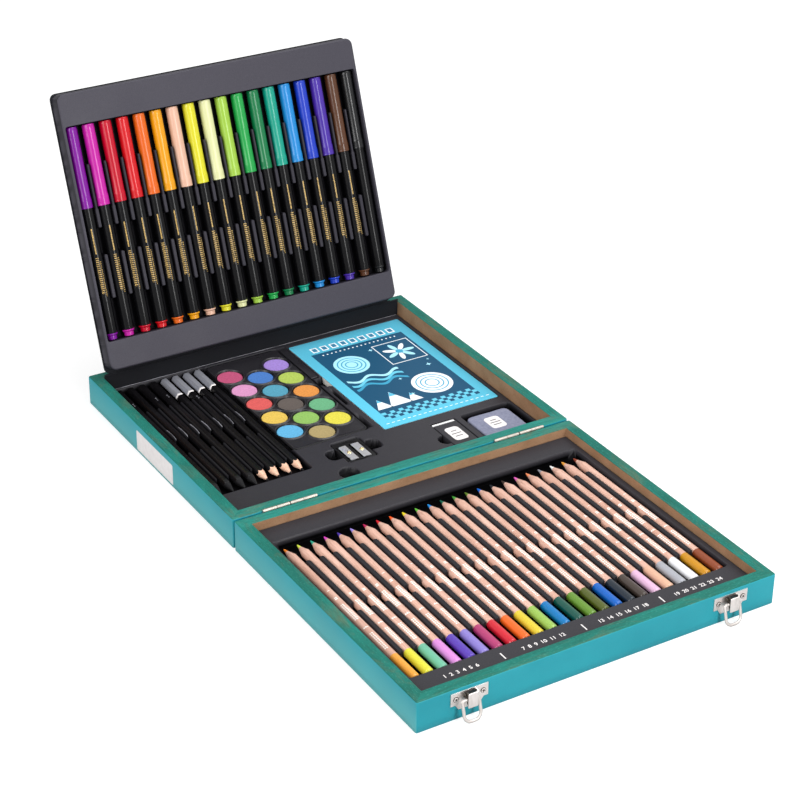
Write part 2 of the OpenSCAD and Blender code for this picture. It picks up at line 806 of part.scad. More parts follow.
module base_leaf_left() { color("silver") at_hinge(-1) leaf(1); }
module base_leaf_right() { color("silver") at_hinge(1) leaf(1); }
module lid_leaf_left() { color("silver") at_hinge(-1) leaf(-1); }
module lid_leaf_right() { color("silver") at_hinge(1) leaf(-1); }
module hinge_pin_left() { hinge_pin(-1); }
module hinge_pin_right() { hinge_pin(1); }
module base_leaf_screws() { leaf_screws(1); }
module lid_leaf_screws() { leaf_screws(-1); }

// ---------- latches ----------
// Plate with cut corners and two lugs that hold the lever's pivot pin
module latch_plate(side) {
    half = plate_w / 2;
    mid = lever_w / 2 + 4;
    slant = 2.6;
    lug_r = 1.3;
    color("silver") at_latch(side) {
        difference() {
            slab(0, latch_t) translate([0, plate_top]) polygon([[-half, 0], [half, 0], [half, -ear_h],
                [mid + slant, -ear_h], [mid, -tongue_h], [-mid, -tongue_h],
                [-mid - slant, -ear_h], [-half, -ear_h]]);
            for (s = [-1, 1]) translate([s * latch_screw_x, cut, latch_screw_z])
                rod_out(shank_r + bore_play, 2 * cut + latch_t);
        }
        for (s = [-1, 1]) difference() {
            translate([s * (lug_in + lug_t / 2), 0, 0]) union() {
                translate([-lug_t / 2, -pivot_out, pivot_z - lug_r])
                    cube([lug_t, pivot_out - latch_t / 2, 2 * lug_r]);
                translate([0, -pivot_out, pivot_z]) rod_x(lug_r, lug_t);
            }
            translate([s * (lug_in + lug_t / 2), -pivot_out, pivot_z])
                rod_x(pivot_r + pin_play, lug_t + 2 * cut);
        }
    }
}

module latch_pin(side) {
    color("silver") at_latch(side) translate([0, -pivot_out, pivot_z]) {
        rod_x(pivot_r, 2 * (lug_in + lug_t) + 0.6);
        for (s = [-1, 1]) translate([s * (lug_in + lug_t + 0.2), 0, 0]) rod_x(pivot_r + 0.25, 0.4);
    }
}

// Lever: a channel with a face and two cheeks, open towards the case
module latch_lever(side) {
    face = pivot_out + 3.4; // out to the lever's front
    cheek_r = 1.2;
    cheek_l = 0.72 * lever_l;
    color("silver") at_latch(side) difference() {
        union() {
            translate([-lever_w / 2, -face, pivot_z - lever_l]) cube([lever_w, latch_t, lever_l]);
            for (s = [-1, 1]) translate([s * (lever_w - latch_t) / 2, 0, 0]) {
                translate([-latch_t / 2, -face + latch_t / 2, pivot_z - cheek_l])
                    cube([latch_t, face - pivot_out - latch_t / 2, cheek_l]);
                translate([0, -pivot_out, pivot_z]) rod_x(cheek_r, latch_t);
                translate([0, -bail_y, bail_z]) rod_x(bail_out + 0.3, latch_t);
            }
        }
        translate([0, -pivot_out, pivot_z]) rod_x(pivot_r + pin_play, lever_w + 2 * cut);
        translate([0, -bail_y, bail_z]) rod_x(wire_r + pin_play, lever_w + 2 * cut);
    }
}

// Bail: a wire bow whose ends turn inwards through the lever's cheeks
module latch_bail(side) {
    leg_x = bail_w / 2;
    bend = 3.5;
    arm = leg_x - lever_w / 2 + 0.9 * latch_t;
    color("silver") at_latch(side) translate([0, -bail_y, bail_z]) rotate([-bail_tilt, 0, 0]) {
        for (s = [-1, 1]) {
            translate([s * (leg_x - arm / 2), 0, 0]) rod_x(wire_r, arm, 20);
            translate([s * leg_x, 0, 0]) sphere(r = wire_r, $fn = 20);
            translate([s * leg_x, 0, bend - bail_len]) cylinder(r = wire_r, h = bail_len - bend, $fn = 20);
            translate([s * (leg_x - bend), 0, bend - bail_len]) rotate([90, 0, 0])
                rotate([0, 0, s > 0 ? -90 : 180]) rotate_extrude(angle = 90, $fn = 40)
                    translate([bend, 0]) circle(wire_r, $fn = 20);
        }
        translate([0, 0, -bail_len]) rod_x(wire_r, bail_w - 2 * bend, 20);
    }
}

module latch_plate_left() { latch_plate(-1); }
module latch_plate_right() { latch_plate(1); }
module latch_pin_left() { latch_pin(-1); }
module latch_pin_right() { latch_pin(1); }
module latch_lever_left() { latch_lever(-1); }
module latch_lever_right() { latch_lever(1); }
module latch_bail_left() { latch_bail(-1); }
module latch_bail_right() { latch_bail(1); }

// Pan-headed screw pointing into the wood, its head on a plate of thickness t
module pan_screw(t) {
    rotate([90, 0, 0]) {
        translate([0, 0, t]) cylinder(r1 = 1.95, r2 = 1.4, h = 1, $fn = 24);
        translate([0, 0, -shank_l]) cylinder(r = shank_r, h = shank_l + t + 0.3, $fn = 24);
    }
}

module latch_screws() {
    color("silver") for (side = [-1, 1], s = [-1, 1]) at_latch(side)
        translate([s * latch_screw_x, 0, latch_screw_z]) pan_screw(latch_t);
}

module strike_screws() {
    color("silver") for (side = [-1, 1], s = [-1, 1]) at_strike(side)
        translate([s * strike_screw_x, 0, strike_screw_z]) pan_screw(latch_t);
}

// Strike: a plate on the base's back face with a hook that the bail catches
module strike(side) {
    hook_w = 6;
    hook_out = 3.2;
    hook_z = half_h - latch_drop - 2.2;
    color("silver") at_strike(side) {
        difference() {
            slab(0, latch_t) translate([0, half_h - latch_drop - strike_h / 2])
                rounded(strike_w, strike_h, 1);
            for (s = [-1, 1]) translate([s * strike_screw_x, cut, strike_screw_z])
                rod_out(shank_r + bore_play, 2 * cut + latch_t);
        }
        translate([-hook_w / 2, -hook_out, hook_z - latch_t]) cube([hook_w, hook_out - latch_t / 2, latch_t]);
        translate([-hook_w / 2, -hook_out, hook_z - 4]) cube([hook_w, latch_t, 4]);
    }
}

module strike_left() { strike(-1); }
module strike_right() { strike(1); }

base_walls();
base_panel();
base_insert();
spine_strip();
sketch_barrels();
sketch_wood_tips();
sketch_leads();
sketch_sleeves();
paint_tablets();
pad_pages();
pad_cover();
sharpener_body();
sharpener_blades();
sharpener_screws();
kneaded_eraser();
block_eraser();
block_sleeve();
side_label();
lid_walls();
lid_panel();
pencil_insert();
pencil_wood();
pencil_leads();
pencil_dips();
tray_board();
tray_shell();
marker_barrels();
marker_caps();
marker_plugs();
base_leaf_left();
base_leaf_right();
lid_leaf_left();
lid_leaf_right();
hinge_pin_left();
hinge_pin_right();
base_leaf_screws();
lid_leaf_screws();
latch_plate_left();
latch_plate_right();
latch_pin_left();
latch_pin_right();
latch_lever_left();
latch_lever_right();
latch_bail_left();
latch_bail_right();
latch_screws();
strike_left();
strike_right();
strike_screws();
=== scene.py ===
"""Hinged wooden art case, open, with its marker tray standing.

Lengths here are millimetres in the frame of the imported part, and become metres
where a mesh is made. +X runs along the seam, +Y from the seam to the back.
"""
from math import cos, pi, radians, sin

import bmesh
import bpy
import numpy as np
from mathutils import Euler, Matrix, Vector


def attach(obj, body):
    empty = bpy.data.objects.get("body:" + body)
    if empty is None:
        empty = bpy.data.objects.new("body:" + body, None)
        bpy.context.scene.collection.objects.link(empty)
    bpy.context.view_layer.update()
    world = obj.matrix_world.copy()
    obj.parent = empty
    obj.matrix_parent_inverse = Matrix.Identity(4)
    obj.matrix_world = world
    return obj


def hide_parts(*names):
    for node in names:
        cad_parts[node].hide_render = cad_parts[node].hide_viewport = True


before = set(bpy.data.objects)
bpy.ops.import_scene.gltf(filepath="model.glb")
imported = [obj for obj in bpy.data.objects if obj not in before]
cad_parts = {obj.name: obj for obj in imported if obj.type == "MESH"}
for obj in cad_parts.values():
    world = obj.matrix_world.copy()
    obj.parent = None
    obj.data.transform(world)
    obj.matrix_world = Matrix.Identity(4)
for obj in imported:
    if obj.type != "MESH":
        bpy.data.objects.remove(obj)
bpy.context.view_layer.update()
random = np.random.default_rng(7)

# ---- sizes of the case, as in the part's source ----
CASE_W, HALF_D, HALF_H = 290.4, 247.0, 24.5
WALL, PANEL, LEDGE = 9.5, 3.0, 4.0
INNER_W, INNER_D = CASE_W - 2 * WALL, HALF_D - 2 * WALL
HINGE_Y, HINGE_X, HINGE_L, KNUCKLE_ROOM = -124.6, 99.2, 43.5, 1.65
LID_Y = -249.2
LID_FRONT = LID_Y - HALF_D / 2
BASE_TOP, LID_TOP = 12.5, 17.5
PLAY = 0.3


def add_object(name, data):
    made = bpy.data.objects.new(name, data)
    bpy.context.scene.collection.objects.link(made)
    return made


# ---- camera ----
def add_camera():
    camera = bpy.data.cameras.new("camera")
    camera.lens, camera.sensor_width, camera.clip_end = 100.46, 36.0, 20.0
    holder = add_object("camera", camera)
    holder.location = (-0.74916, -1.32824, 0.87342)
    holder.rotation_euler = Euler([radians(a) for a in (60.8163, -0.6583, -31.2789)])
    bpy.context.scene.camera = holder


add_camera()


# ---- colours ----
PAINT_DEPTH, DYE_DEPTH = 0.88, 0.84  # how light the paints and the dyed ends are beside their codes


def tone(code):
    """Linear red, green and blue of a hexadecimal screen colour."""
    screen = np.array([int(code[i:i + 2], 16) for i in (1, 3, 5)]) / 255
    return np.where(screen <= 0.04045, screen / 12.92, ((screen + 0.055) / 1.055) ** 2.4)


# ---- surfaces ----
def place_piece(name, mesh, body, finish, node, crease):
    """Smooth a mesh up to its creases, give it its finishes and set it on its body,
    in the place of a CAD node where one is named."""
    mesh.polygons.foreach_set("use_smooth", [True] * len(mesh.polygons))
    mesh.set_sharp_from_angle(angle=radians(crease))
    for each in finish if isinstance(finish, tuple) else (finish,):
        mesh.materials.append(each)
    made = add_object(name, mesh)
    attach(made, body)
    if node:
        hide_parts(node)
    return made


class Skin:
    """Grids of points, in millimetres, gathered into one closed mesh."""

    def __init__(self):
        self.points, self.faces, self.uvs, self.slots, self.tints = [], [], [], [], []
        self.count = 0

    def add(self, points, uv, tint):
        points = np.asarray(points, float).reshape(-1, 3)
        start = self.count
        self.points.append(points)
        self.uvs.append(np.zeros((len(points), 2)) if uv is None else np.asarray(uv, float).reshape(-1, 2))
        shades = np.broadcast_to(np.asarray(tint, float), (len(points), 3))
        self.tints.append(np.column_stack([shades, np.ones(len(points))]))
        self.count += len(points)
        return start

    def grid(self, p, uv=None, slot=0, tint=(1, 1, 1)):
        """Quads between the neighbours of p[i, j]. slot is a number or one per row of quads."""
        rows, cols = p.shape[:2]
        index = self.add(p, uv, tint) + np.arange(rows * cols).reshape(rows, cols)
        quads = np.stack([index[:-1, :-1], index[1:, :-1], index[1:, 1:], index[:-1, 1:]], -1)
        self.faces.extend(quads.reshape(-1, 4).tolist())
        per_row = np.broadcast_to(np.asarray(slot), (rows - 1,))
        self.slots.extend(np.repeat(per_row, cols - 1).tolist())

    def cap(self, loop, uv=None, slot=0, tint=(1, 1, 1)):
        """One flat face inside a closed loop of points."""
        start = self.add(loop, uv, tint)
        self.faces.append(list(range(start, start + len(loop))))
        self.slots.append(slot)

    def rod(self, p, uv=None, slot=0, tint=(1, 1, 1)):
        """A grid whose rows are closed rings, with the first and the last filled in."""
        self.grid(p, uv, slot, tint)
        for end in (p[0, :-1], p[-1, :-1]):
            self.cap(end, end[:, :2] / 1000, slot, tint)

    def piece(self, name, body, finish, node, slot, crease=38, move=None):
        """Make the object: merge seams, turn faces outwards, crease sharp edges."""
        points = np.concatenate(self.points)
        if move is not None:
            points = move(points)
        mesh = bpy.data.meshes.new(name)
        mesh.from_pydata((points / 1000).tolist(), [], self.faces)
        mesh.polygons.foreach_set("material_index", self.slots)
        wrap = mesh.uv_layers.new(name="wrap")
        corners = np.empty(len(mesh.loops), np.int32)
        mesh.loops.foreach_get("vertex_index", corners)
        wrap.data.foreach_set("uv", np.concatenate(self.uvs)[corners].ravel())
        tint = mesh.color_attributes.new("tint", "FLOAT_COLOR", "POINT")
        tint.data.foreach_set("color", np.concatenate(self.tints).ravel())
        work = bmesh.new()
        work.from_mesh(mesh)
        bmesh.ops.remove_doubles(work, verts=work.verts, dist=2e-6)
        bmesh.ops.recalc_face_normals(work, faces=work.faces)
        work.to_mesh(mesh)
        work.free()
        return place_piece(name, mesh, body, finish, node, crease)


def closed(outline):
    """A loop with its first point again at its end."""
    return np.vstack([outline, outline[:1]]).astype(float)


def ring(w, d, r, xs=(), ys=(), n=5):
    """Points round a rounded rectangle w by d: four quarter circles of radius r,
    with further points at xs on the two long sides and ys on the other two."""
    parts = []
    for k, (sx, sy) in enumerate(((1, 1), (-1, 1), (-1, -1), (1, -1))):
        turn = (k + np.linspace(0, 1, n + 1)) * pi / 2
        parts.append(np.column_stack([sx * (w / 2 - r) + r * np.cos(turn), sy * (d / 2 - r) + r * np.sin(turn)]))
        side, other = (xs, sy * d / 2) if k % 2 == 0 else (ys, sx * w / 2)
        if len(side):
            along = np.sort(side)[::-1] if k in (0, 1) else np.sort(side)
            fixed = np.full(len(along), other)
            parts.append(np.column_stack([along, fixed] if k % 2 == 0 else [fixed, along]))
    loop = np.concatenate(parts)
    return np.concatenate([loop, loop[:1]])


def stack(sections, centre=(0, 0), **more):
    """Rounded rectangles (w, d, r, z) joined one to the next: p[i, j] is point j
    of section i. The second result is each point's distance round and along."""
    rings = [ring(w, d, r, **more) for w, d, r, z in sections]
    p = np.stack([np.column_stack([c + centre, np.full(len(c), s[3])]) for c, s in zip(rings, sections)])
    around = np.concatenate([[0], np.cumsum(np.linalg.norm(np.diff(p[0], axis=0), axis=1))])
    along = np.concatenate([[0], np.cumsum(np.linalg.norm(np.diff(p[:, 0], axis=0), axis=1))])
    return p, np.stack(np.broadcast_arrays(around[None], along[:, None]), -1) / 1000


def prism(skin, outline, axis, places, tint=(1, 1, 1), slot=0):
    """An outline carried through the places on an axis, and closed at both ends. Its
    two numbers belong to the other two axes, in their order."""
    loop = closed(outline)
    p = np.stack([np.insert(loop, axis, place, axis=1) for place in places])
    skin.rod(p, p[..., :2] / 1000, slot, tint)


def pillow(w, d, r, z0, z1, edge, steps=4):
    """Sections of a block whose top and bottom edges are quarter circles."""
    turn = np.linspace(0, pi / 2, steps + 1)
    inset, rise = edge * (1 - np.sin(turn)), edge * (1 - np.cos(turn))
    low = [(w - 2 * i, d - 2 * i, max(r - i, 0.05), z0 + k) for i, k in zip(inset, rise)]
    high = [(w - 2 * i, d - 2 * i, max(r - i, 0.05), z1 - k) for i, k in zip(inset[::-1], rise[::-1])]
    return low + high


def block(skin, centre, *size, tint=(1, 1, 1)):
    """A pillow about a centre, its sections joined and its ends closed."""
    skin.rod(*stack(pillow(*size), centre), tint=tint)


def tube(skin, path, wide, high, over=(0, 0, 1), n=12):
    """A rod along a path: an ellipse reaching wide to the sides and high towards
    over, at right angles to the path, its two ends closed."""
    path = np.asarray(path, float)
    across = np.cross(over, np.gradient(path, axis=0))
    across /= np.linalg.norm(across, axis=1, keepdims=True)
    a = np.linspace(0, 2 * pi, n + 1)[None, :, None]
    p = path[:, None] + wide * np.cos(a) * across[:, None] + high * np.sin(a) * np.asarray(over, float)
    skin.rod(p, np.stack(np.broadcast_arrays(a[..., 0] / 7, np.arange(len(path))[:, None] / 100), -1))


def revolve(profile, n=32, start=0.0, squash=1.0):
    """A profile of (distance along, radius) turned about the +X axis: p[i, j] is
    profile point i at angle j. The uv is the share of a turn and the distance."""
    s, r = np.asarray(profile, float).T
    turn = np.linspace(0, 2 * pi, n + 1)
    a = turn + start
    p = np.stack(np.broadcast_arrays(s[:, None], r[:, None] * np.cos(a) * squash, r[:, None] * np.sin(a)), -1)
    uv = np.stack(np.broadcast_arrays(turn[None] / (2 * pi), s[:, None] / 1000), -1)
    return p, uv


def along_y(p, x, y, z, way=1):
    """Turn what runs along +X so that it runs along +Y (or -Y) from (x, y, z)."""
    return np.stack([x - way * p[..., 1], y + way * p[..., 0], z + p[..., 2]], -1)


def soft_step(t):
    t = np.clip(t, 0, 1)
    return t * t * (3 - 2 * t)


def box_gap(x, y, cx, cy, w, l, r):
    """Distance from a rounded rectangle's outline, negative inside it."""
    qx, qy = np.abs(x - cx) - w / 2 + r, np.abs(y - cy) - l / 2 + r
    return np.hypot(np.maximum(qx, 0), np.maximum(qy, 0)) + np.minimum(np.maximum(qx, qy), 0) - r


def gap_of(x, y, cx, cy, *size):
    """Distance from a disc's edge, or from a rounded rectangle's."""
    return box_gap(x, y, cx, cy, *size) if len(size) > 1 else np.hypot(x - cx, y - cy) - size[0]


def ease_border(h, *insides):
    """Lower a sheet by up to 0.5 mm over the last 0.7 mm before its nearest side."""
    return h - 0.5 * soft_step(1 - np.minimum(*insides) / 0.7)


def press(h, gap, top, floor, draft=0.9):
    """Push a sheet down to floor where gap is negative, over a wall of width draft."""
    return np.minimum(h, top + (floor - top) * soft_step((0.35 * draft - gap) / draft))


def raise_rib(h, gap, floor, top, draft=0.7):
    """Lift a sheet from floor to top where gap is negative, with rounded sides."""
    return np.maximum(h, floor + (top - floor) * soft_step((0.4 * draft - gap) / draft))


def between(xs):
    return (xs[:-1] + xs[1:]) / 2


def spaced(marks, least):
    """Marks in order, without those that lie too close behind the one before."""
    return marks[np.concatenate([[True], np.diff(marks) > least])]


def lines(low, high, step, bends=(), reach=0.7, fine=0.18):
    """Grid lines from low to high, close together at each bend of the sheet."""
    marks = [np.arange(low, high, step), [high]]
    marks += [b + np.arange(-reach, reach + fine, fine) for b in bends]
    return spaced(np.unique(np.clip(np.concatenate(marks), low, high).round(3)), 0.09)


DEEP_SHADE = 0.22  # painted shade: how dark the bottom of a pressed recess is painted beside its face
RIM_DROP = 0.4  # how far below a sheet's border the points lie that keep its rim crisp


def sheet(skin, xs, ys, height, skirt, dull, shape=None, deep=(2.0, 2.6)):
    """A pressed sheet z = height(x, y) on grid lines, its border brought down, first by
    RIM_DROP and then to the level skirt, and closed there. shape may move the lines
    sideways first. The tint is painted shade: it falls from 1 on the face to DEEP_SHADE
    over the depths that deep gives (a start and a span), and is scaled by dull(x, y),
    which paints further shade."""
    x, y = np.meshgrid(xs, ys, indexing="ij")
    if shape is not None:
        x, y = shape(x, y)
    p = np.pad(np.stack([x, y, height(x, y)], -1), ((2, 2), (2, 2), (0, 0)), "edge")
    for k, inner in ((1, 2), (-2, -3)):
        p[k, :, 2] -= RIM_DROP
        p[1:-1, k, 2] -= RIM_DROP * (p[1:-1, k, 2] == p[1:-1, inner, 2])
    depth = p[2:-2, 2:-2, 2].max() - p[..., 2]
    shade = 1 - (1 - DEEP_SHADE) * soft_step((depth - deep[0]) / deep[1])
    shade = shade * dull(p[..., 0], p[..., 1])
    p[[0, -1], :, 2] = p[:, [0, -1], 2] = skirt
    skin.grid(p, p[..., :2] / 1000, 0, np.repeat(shade.reshape(-1, 1), 3, axis=1))
    loop = np.concatenate([p[1:-1, 0], p[-1, 1:-1], p[-2:0:-1, -1], p[0, -2:0:-1]])
    skin.cap(loop[np.linalg.norm(loop - np.roll(loop, 1, axis=0), axis=1) > 1e-6])


# ---- materials ----
class Nodes:
    """Short calls for the nodes of one tree."""

    def __init__(self, tree):
        self.tree = tree

    def join(self, socket, source):
        """Link a socket to another one, or set it to a value or a colour code."""
        if isinstance(source, bpy.types.NodeSocket):
            self.tree.links.new(source, socket)
        else:
            socket.default_value = (*tone(source), 1) if isinstance(source, str) else source

    def node(self, kind, sources=(), **settings):
        made = self.tree.nodes.new("ShaderNode" + kind)
        for name, value in settings.items():
            setattr(made, name, value)
        for key, source in dict(sources).items():
            self.join(made.inputs[key], source)
        return made

    def math(self, how, *values):
        return self.node("Math", dict(enumerate(values)), operation=how).outputs[0]

    def times(self, first, second):
        return self.math("MULTIPLY", first, second)

    def most(self, first, *others):
        for other in others:
            first = self.math("MAXIMUM", first, other)
        return first

    def place(self, kind="Object", scale=(1, 1, 1)):
        """Coordinates: the piece's own frame, or its wrap."""
        source = self.node("TexCoord").outputs[kind]
        return self.node("Mapping", {"Vector": source, "Scale": scale}).outputs["Vector"]

    def noise(self, where, scale, detail=3.0, rough=0.55, warp=0.0):
        sources = {"Vector": where, "Scale": scale, "Detail": detail, "Roughness": rough, "Distortion": warp}
        return self.node("TexNoise", sources).outputs["Fac"]

    def waves(self, axis, scale, warp, detail=2.0):
        sources = {"Vector": self.place(), "Scale": scale, "Distortion": warp, "Detail": detail}
        return self.node("TexWave", sources, bands_direction=axis).outputs["Fac"]

    def spread(self, value, low, high, to_low=0.0, to_high=1.0):
        sources = {"Value": value, "From Min": low, "From Max": high, "To Min": to_low, "To Max": to_high}
        return self.node("MapRange", sources).outputs["Result"]

    def mix(self, share, first, second, blend="MIX"):
        return self.node("Mix", {0: share, 6: first, 7: second}, data_type="RGBA", blend_type=blend).outputs[2]

    def worked(self, base, value, low, high, shade, most=1.0):
        """A base colour with a shade worked in as value goes from low to high."""
        return self.mix(self.spread(value, low, high, 0, most), base, shade)


class Finish(Nodes):
    """A principled material with its constants on the shader's own sockets."""

    def __init__(self, name, rough, gloss=0.5, **sockets):
        self.made = bpy.data.materials.new(name)
        self.made.use_nodes = True
        super().__init__(self.made.node_tree)
        self.shader = self.tree.nodes["Principled BSDF"]
        self.feed(Roughness=rough, Specular_IOR_Level=gloss, **sockets)

    def feed(self, **sockets):
        for name, source in sockets.items():
            self.join(self.shader.inputs[name.replace("_", " ")], source)
        return self.made

    def bump(self, height, strength, distance=0.0002):
        sources = {"Height": height, "Strength": strength, "Distance": distance}
        self.feed(Normal=self.node("Bump", sources).outputs[0])

    def tint(self):
        """The piece's tint, as a colour and as its lightness: the colour of tinted pieces, and painted shade on
        pressed sheets.
        """
        return self.node("Attribute", attribute_name="tint").outputs

    def band(self, value, low, high):
        """1 where value lies between low and high, and 0 elsewhere."""
        off = self.math("ABSOLUTE", self.math("SUBTRACT", value, (low + high) / 2))
        return self.math("LESS_THAN", off, (high - low) / 2)

    def wrap(self):
        """The share of a turn round a rod, and the distance along it in metres."""
        return self.node("SeparateXYZ", {0: self.node("UVMap", uv_map="wrap").outputs[0]}).outputs[:2]

    def prints(self, around, along, *patches):
        """1 on each patch, given as a stretch round the rod and one along it."""
        return self.most(*(self.times(self.band(around, a, b), self.band(along, c, d)) for a, b, c, d in patches))

    def ticks(self, along, rate, gap):
        return self.math("GREATER_THAN", self.math("FRACT", self.times(along, rate)), gap)


def teal_paint():
    """Smooth paint on the outer faces: clouded a little, with the board faintly felt,
    and a painted light that makes the left side paler towards its foot."""
    n = Finish("teal_paint", 0.45, 0.22)
    here = n.place()
    cloud = n.noise(here, 14, 4)
    base = n.worked("#1E8794", cloud, 0.3, 0.7, "#2794A1")
    base = n.worked(base, n.noise(n.place(scale=(1, 1, 3)), 420), 0.62, 0.8, "#177683", 0.35)
    where = n.node("SeparateXYZ", {0: here}).outputs
    # Painted light: the left side is made paler towards its foot.
    left_foot_light = n.times(n.spread(where[0], -0.1445, -0.1449), n.spread(where[2], 0.024, 0.001, 0.04, 0.38))
    n.bump(n.noise(here, 700), 0.12, 0.0003)
    return n.feed(Base_Color=n.mix(left_foot_light, base, "#83C2B9"), Roughness=n.spread(cloud, 0.3, 0.7, 0.36, 0.5))


def rim_stain():
    """Green-teal stain on the rims: pores and streaks that follow each side, and
    brownish patches where the board shows through."""
    n = Finish("rim_stain", 0.65, 0.2)
    cloud = n.noise(n.place("UV", (9, 30, 1)), 1.0, 4, 0.6)
    grain = n.noise(n.place("UV", (60, 900, 1)), 1.0, 5, 0.65, 0.4)
    pore = n.noise(n.place("UV", (420, 1500, 1)), 1.0)
    worn = n.noise(n.place("UV", (26, 80, 1)), 1.0, 4, 0.7, 0.6)
    seam = n.math("ABSOLUTE", n.math("ADD", n.node("SeparateXYZ", {0: n.place()}).outputs[1], -HINGE_Y / 1000))
    base = n.worked("#11594E", cloud, 0.35, 0.68, "#19776B")
    base = n.mix(n.spread(seam, 0.010, 0.016, 0.5, 0), base, "#2C887D")
    base = n.worked(base, worn, 0.5, 0.7, "#56624A", 0.68)
    base = n.worked(base, grain, 0.46, 0.68, "#104A3E", 0.6)
    n.bump(n.math("ADD", grain, pore), 0.25, 0.0004)
    return n.feed(Base_Color=n.worked(base, pore, 0.56, 0.7, "#52A595", 0.35))


def bare_board():
    """Uncoated fibreboard on the inner walls."""
    n = Finish("bare_board", 0.85, 0.2)
    fibre = n.noise(n.place(scale=(1, 1, 2.5)), 900, 4)
    base = n.worked("#8C6B4F", n.noise(n.place(), 60), 0.3, 0.7, "#A27F61")
    n.bump(fibre, 0.3, 0.0003)
    return n.feed(Base_Color=n.worked(base, fibre, 0.55, 0.75, "#5E4330", 0.6))


def pressed_sheet(name, colour, dark, rough, gloss=0.25):
    """Thermoformed plastic with a fine leather-like grain. The piece's tint, painted shade, darkens its colour and
    lowers its gloss in recesses and at edges.
    """
    n = Finish(name, rough)
    here, tint = n.place(), n.tint()
    grain = n.noise(here, 1500, 2)
    n.bump(grain, 0.22, 0.00025)
    return n.feed(Base_Color=n.mix(1.0, n.worked(dark, grain, 0.35, 0.65, colour), tint["Color"], "MULTIPLY"),
                  Roughness=n.spread(n.noise(here, 35), 0.3, 0.7, rough - 0.06, rough + 0.06),
                  Specular_IOR_Level=n.times(tint["Fac"], gloss))


def cloth_black():
    """Black binding cloth with a fine crossed weave."""
    n = Finish("cloth_black", 0.8, 0.15, Base_Color="#1C1D21")
    n.bump(n.math("ADD", n.waves("X", 700.0, 1.5), n.waves("Z", 700.0, 1.5)), 0.3)
    return n.made


def tinted(name, rough, coat=0.0, grain=0.0, scale=900, gloss=0.3):
    """A finish that takes its colour from the piece's tint, clouded by fine grain."""
    n = Finish(name, rough, gloss, Coat_Weight=coat)
    speck = n.noise(n.place(), scale)
    n.bump(speck, 0.3 if grain > 0.2 else 0.04)
    return n.feed(Base_Color=n.mix(n.spread(speck, 0.3, 0.7, 0, grain), n.tint()["Color"], "#1A1516", "MULTIPLY"))


def pencil_wood():
    """Pale pinkish wood with grain along the pencil and rows of plain white ticks."""
    n = Finish("pencil_wood", 0.6, 0.25)
    grain = n.noise(n.place(scale=(1, 0.06, 1)), 1400, 4, 0.6)
    wood = n.worked("#C49A88", n.noise(n.place(scale=(1, 0.3, 1)), 90), 0.3, 0.7, "#D6B0A0")
    wood = n.worked(wood, grain, 0.48, 0.72, "#A0715C", 0.6)
    around, along = n.wrap()
    word = n.math("GREATER_THAN", n.math("SINE", n.times(along, 160.0)), -0.75)
    rows = n.prints(around, along, (0.405, 0.455, 0.062, 0.094), (0.475, 0.525, 0.062, 0.094),
                    (0.545, 0.575, 0.062, 0.088), (0.42, 0.46, 0.035, 0.056), (0.49, 0.53, 0.035, 0.056),
                    (0.43, 0.53, 0.101, 0.113))
    n.bump(grain, 0.12)
    return n.feed(Base_Color=n.mix(n.times(n.times(n.ticks(along, 520.0, 0.36), word), rows), wood, "#F4F1EC"))


def marker_black():
    """Glossy black barrel with two plain gold rules and ticks between them."""
    n = Finish("marker_black", 0.2, 0.2)
    around, along = n.wrap()
    bars = n.prints(around, along, (0.435, 0.515, 0.037, 0.066), (0.535, 0.565, 0.035, 0.063))
    rule = n.prints(around, along, (0.462, 0.494, 0.069, 0.089))
    gold = n.most(n.times(n.ticks(along, 620.0, 0.5), bars), rule)
    worn = n.spread(n.noise(n.place(), 1600, 2), 0.36, 0.56, 0.15, 1)
    return n.feed(Base_Color=n.mix(n.times(gold, worn), "#09090B", "#C9A866"),
                  Roughness=n.spread(gold, 0, 1, 0.2, 0.38))


def nickel(name, colour, rough, metal=1.0):
    """Plated metal with fine wear marks."""
    n = Finish(name, rough, Metallic=metal)
    wear = n.noise(n.place(scale=(1, 1, 0.4)), 260, 4)
    n.bump(wear, 0.03, 0.0001)
    return n.feed(Base_Color=n.worked(colour, wear, 0.45, 0.8, "#8E8B84", 0.4),
                  Roughness=n.spread(wear, 0.3, 0.7, rough - 0.05, rough + 0.1))


def speckled(name, colour, other, rough, scale=600, bump=0.1, gloss=0.3):
    """A plain finish with a second tone worked into it."""
    n = Finish(name, rough, gloss)
    fleck = n.noise(n.place(), scale, 4)
    n.bump(fleck, bump)
    return n.feed(Base_Color=n.worked(colour, fleck, 0.35, 0.7, other))


def page_edges():
    """White paper with the thin dark lines of stacked sheets on its sides."""
    n = Finish("page_edges", 0.8)
    leaf = n.waves("Z", 900.0, 0.6)
    n.bump(leaf, 0.4)
    return n.feed(Base_Color=n.worked("#CFCBC4", leaf, 0.2, 0.9, "#F1EFEA"))


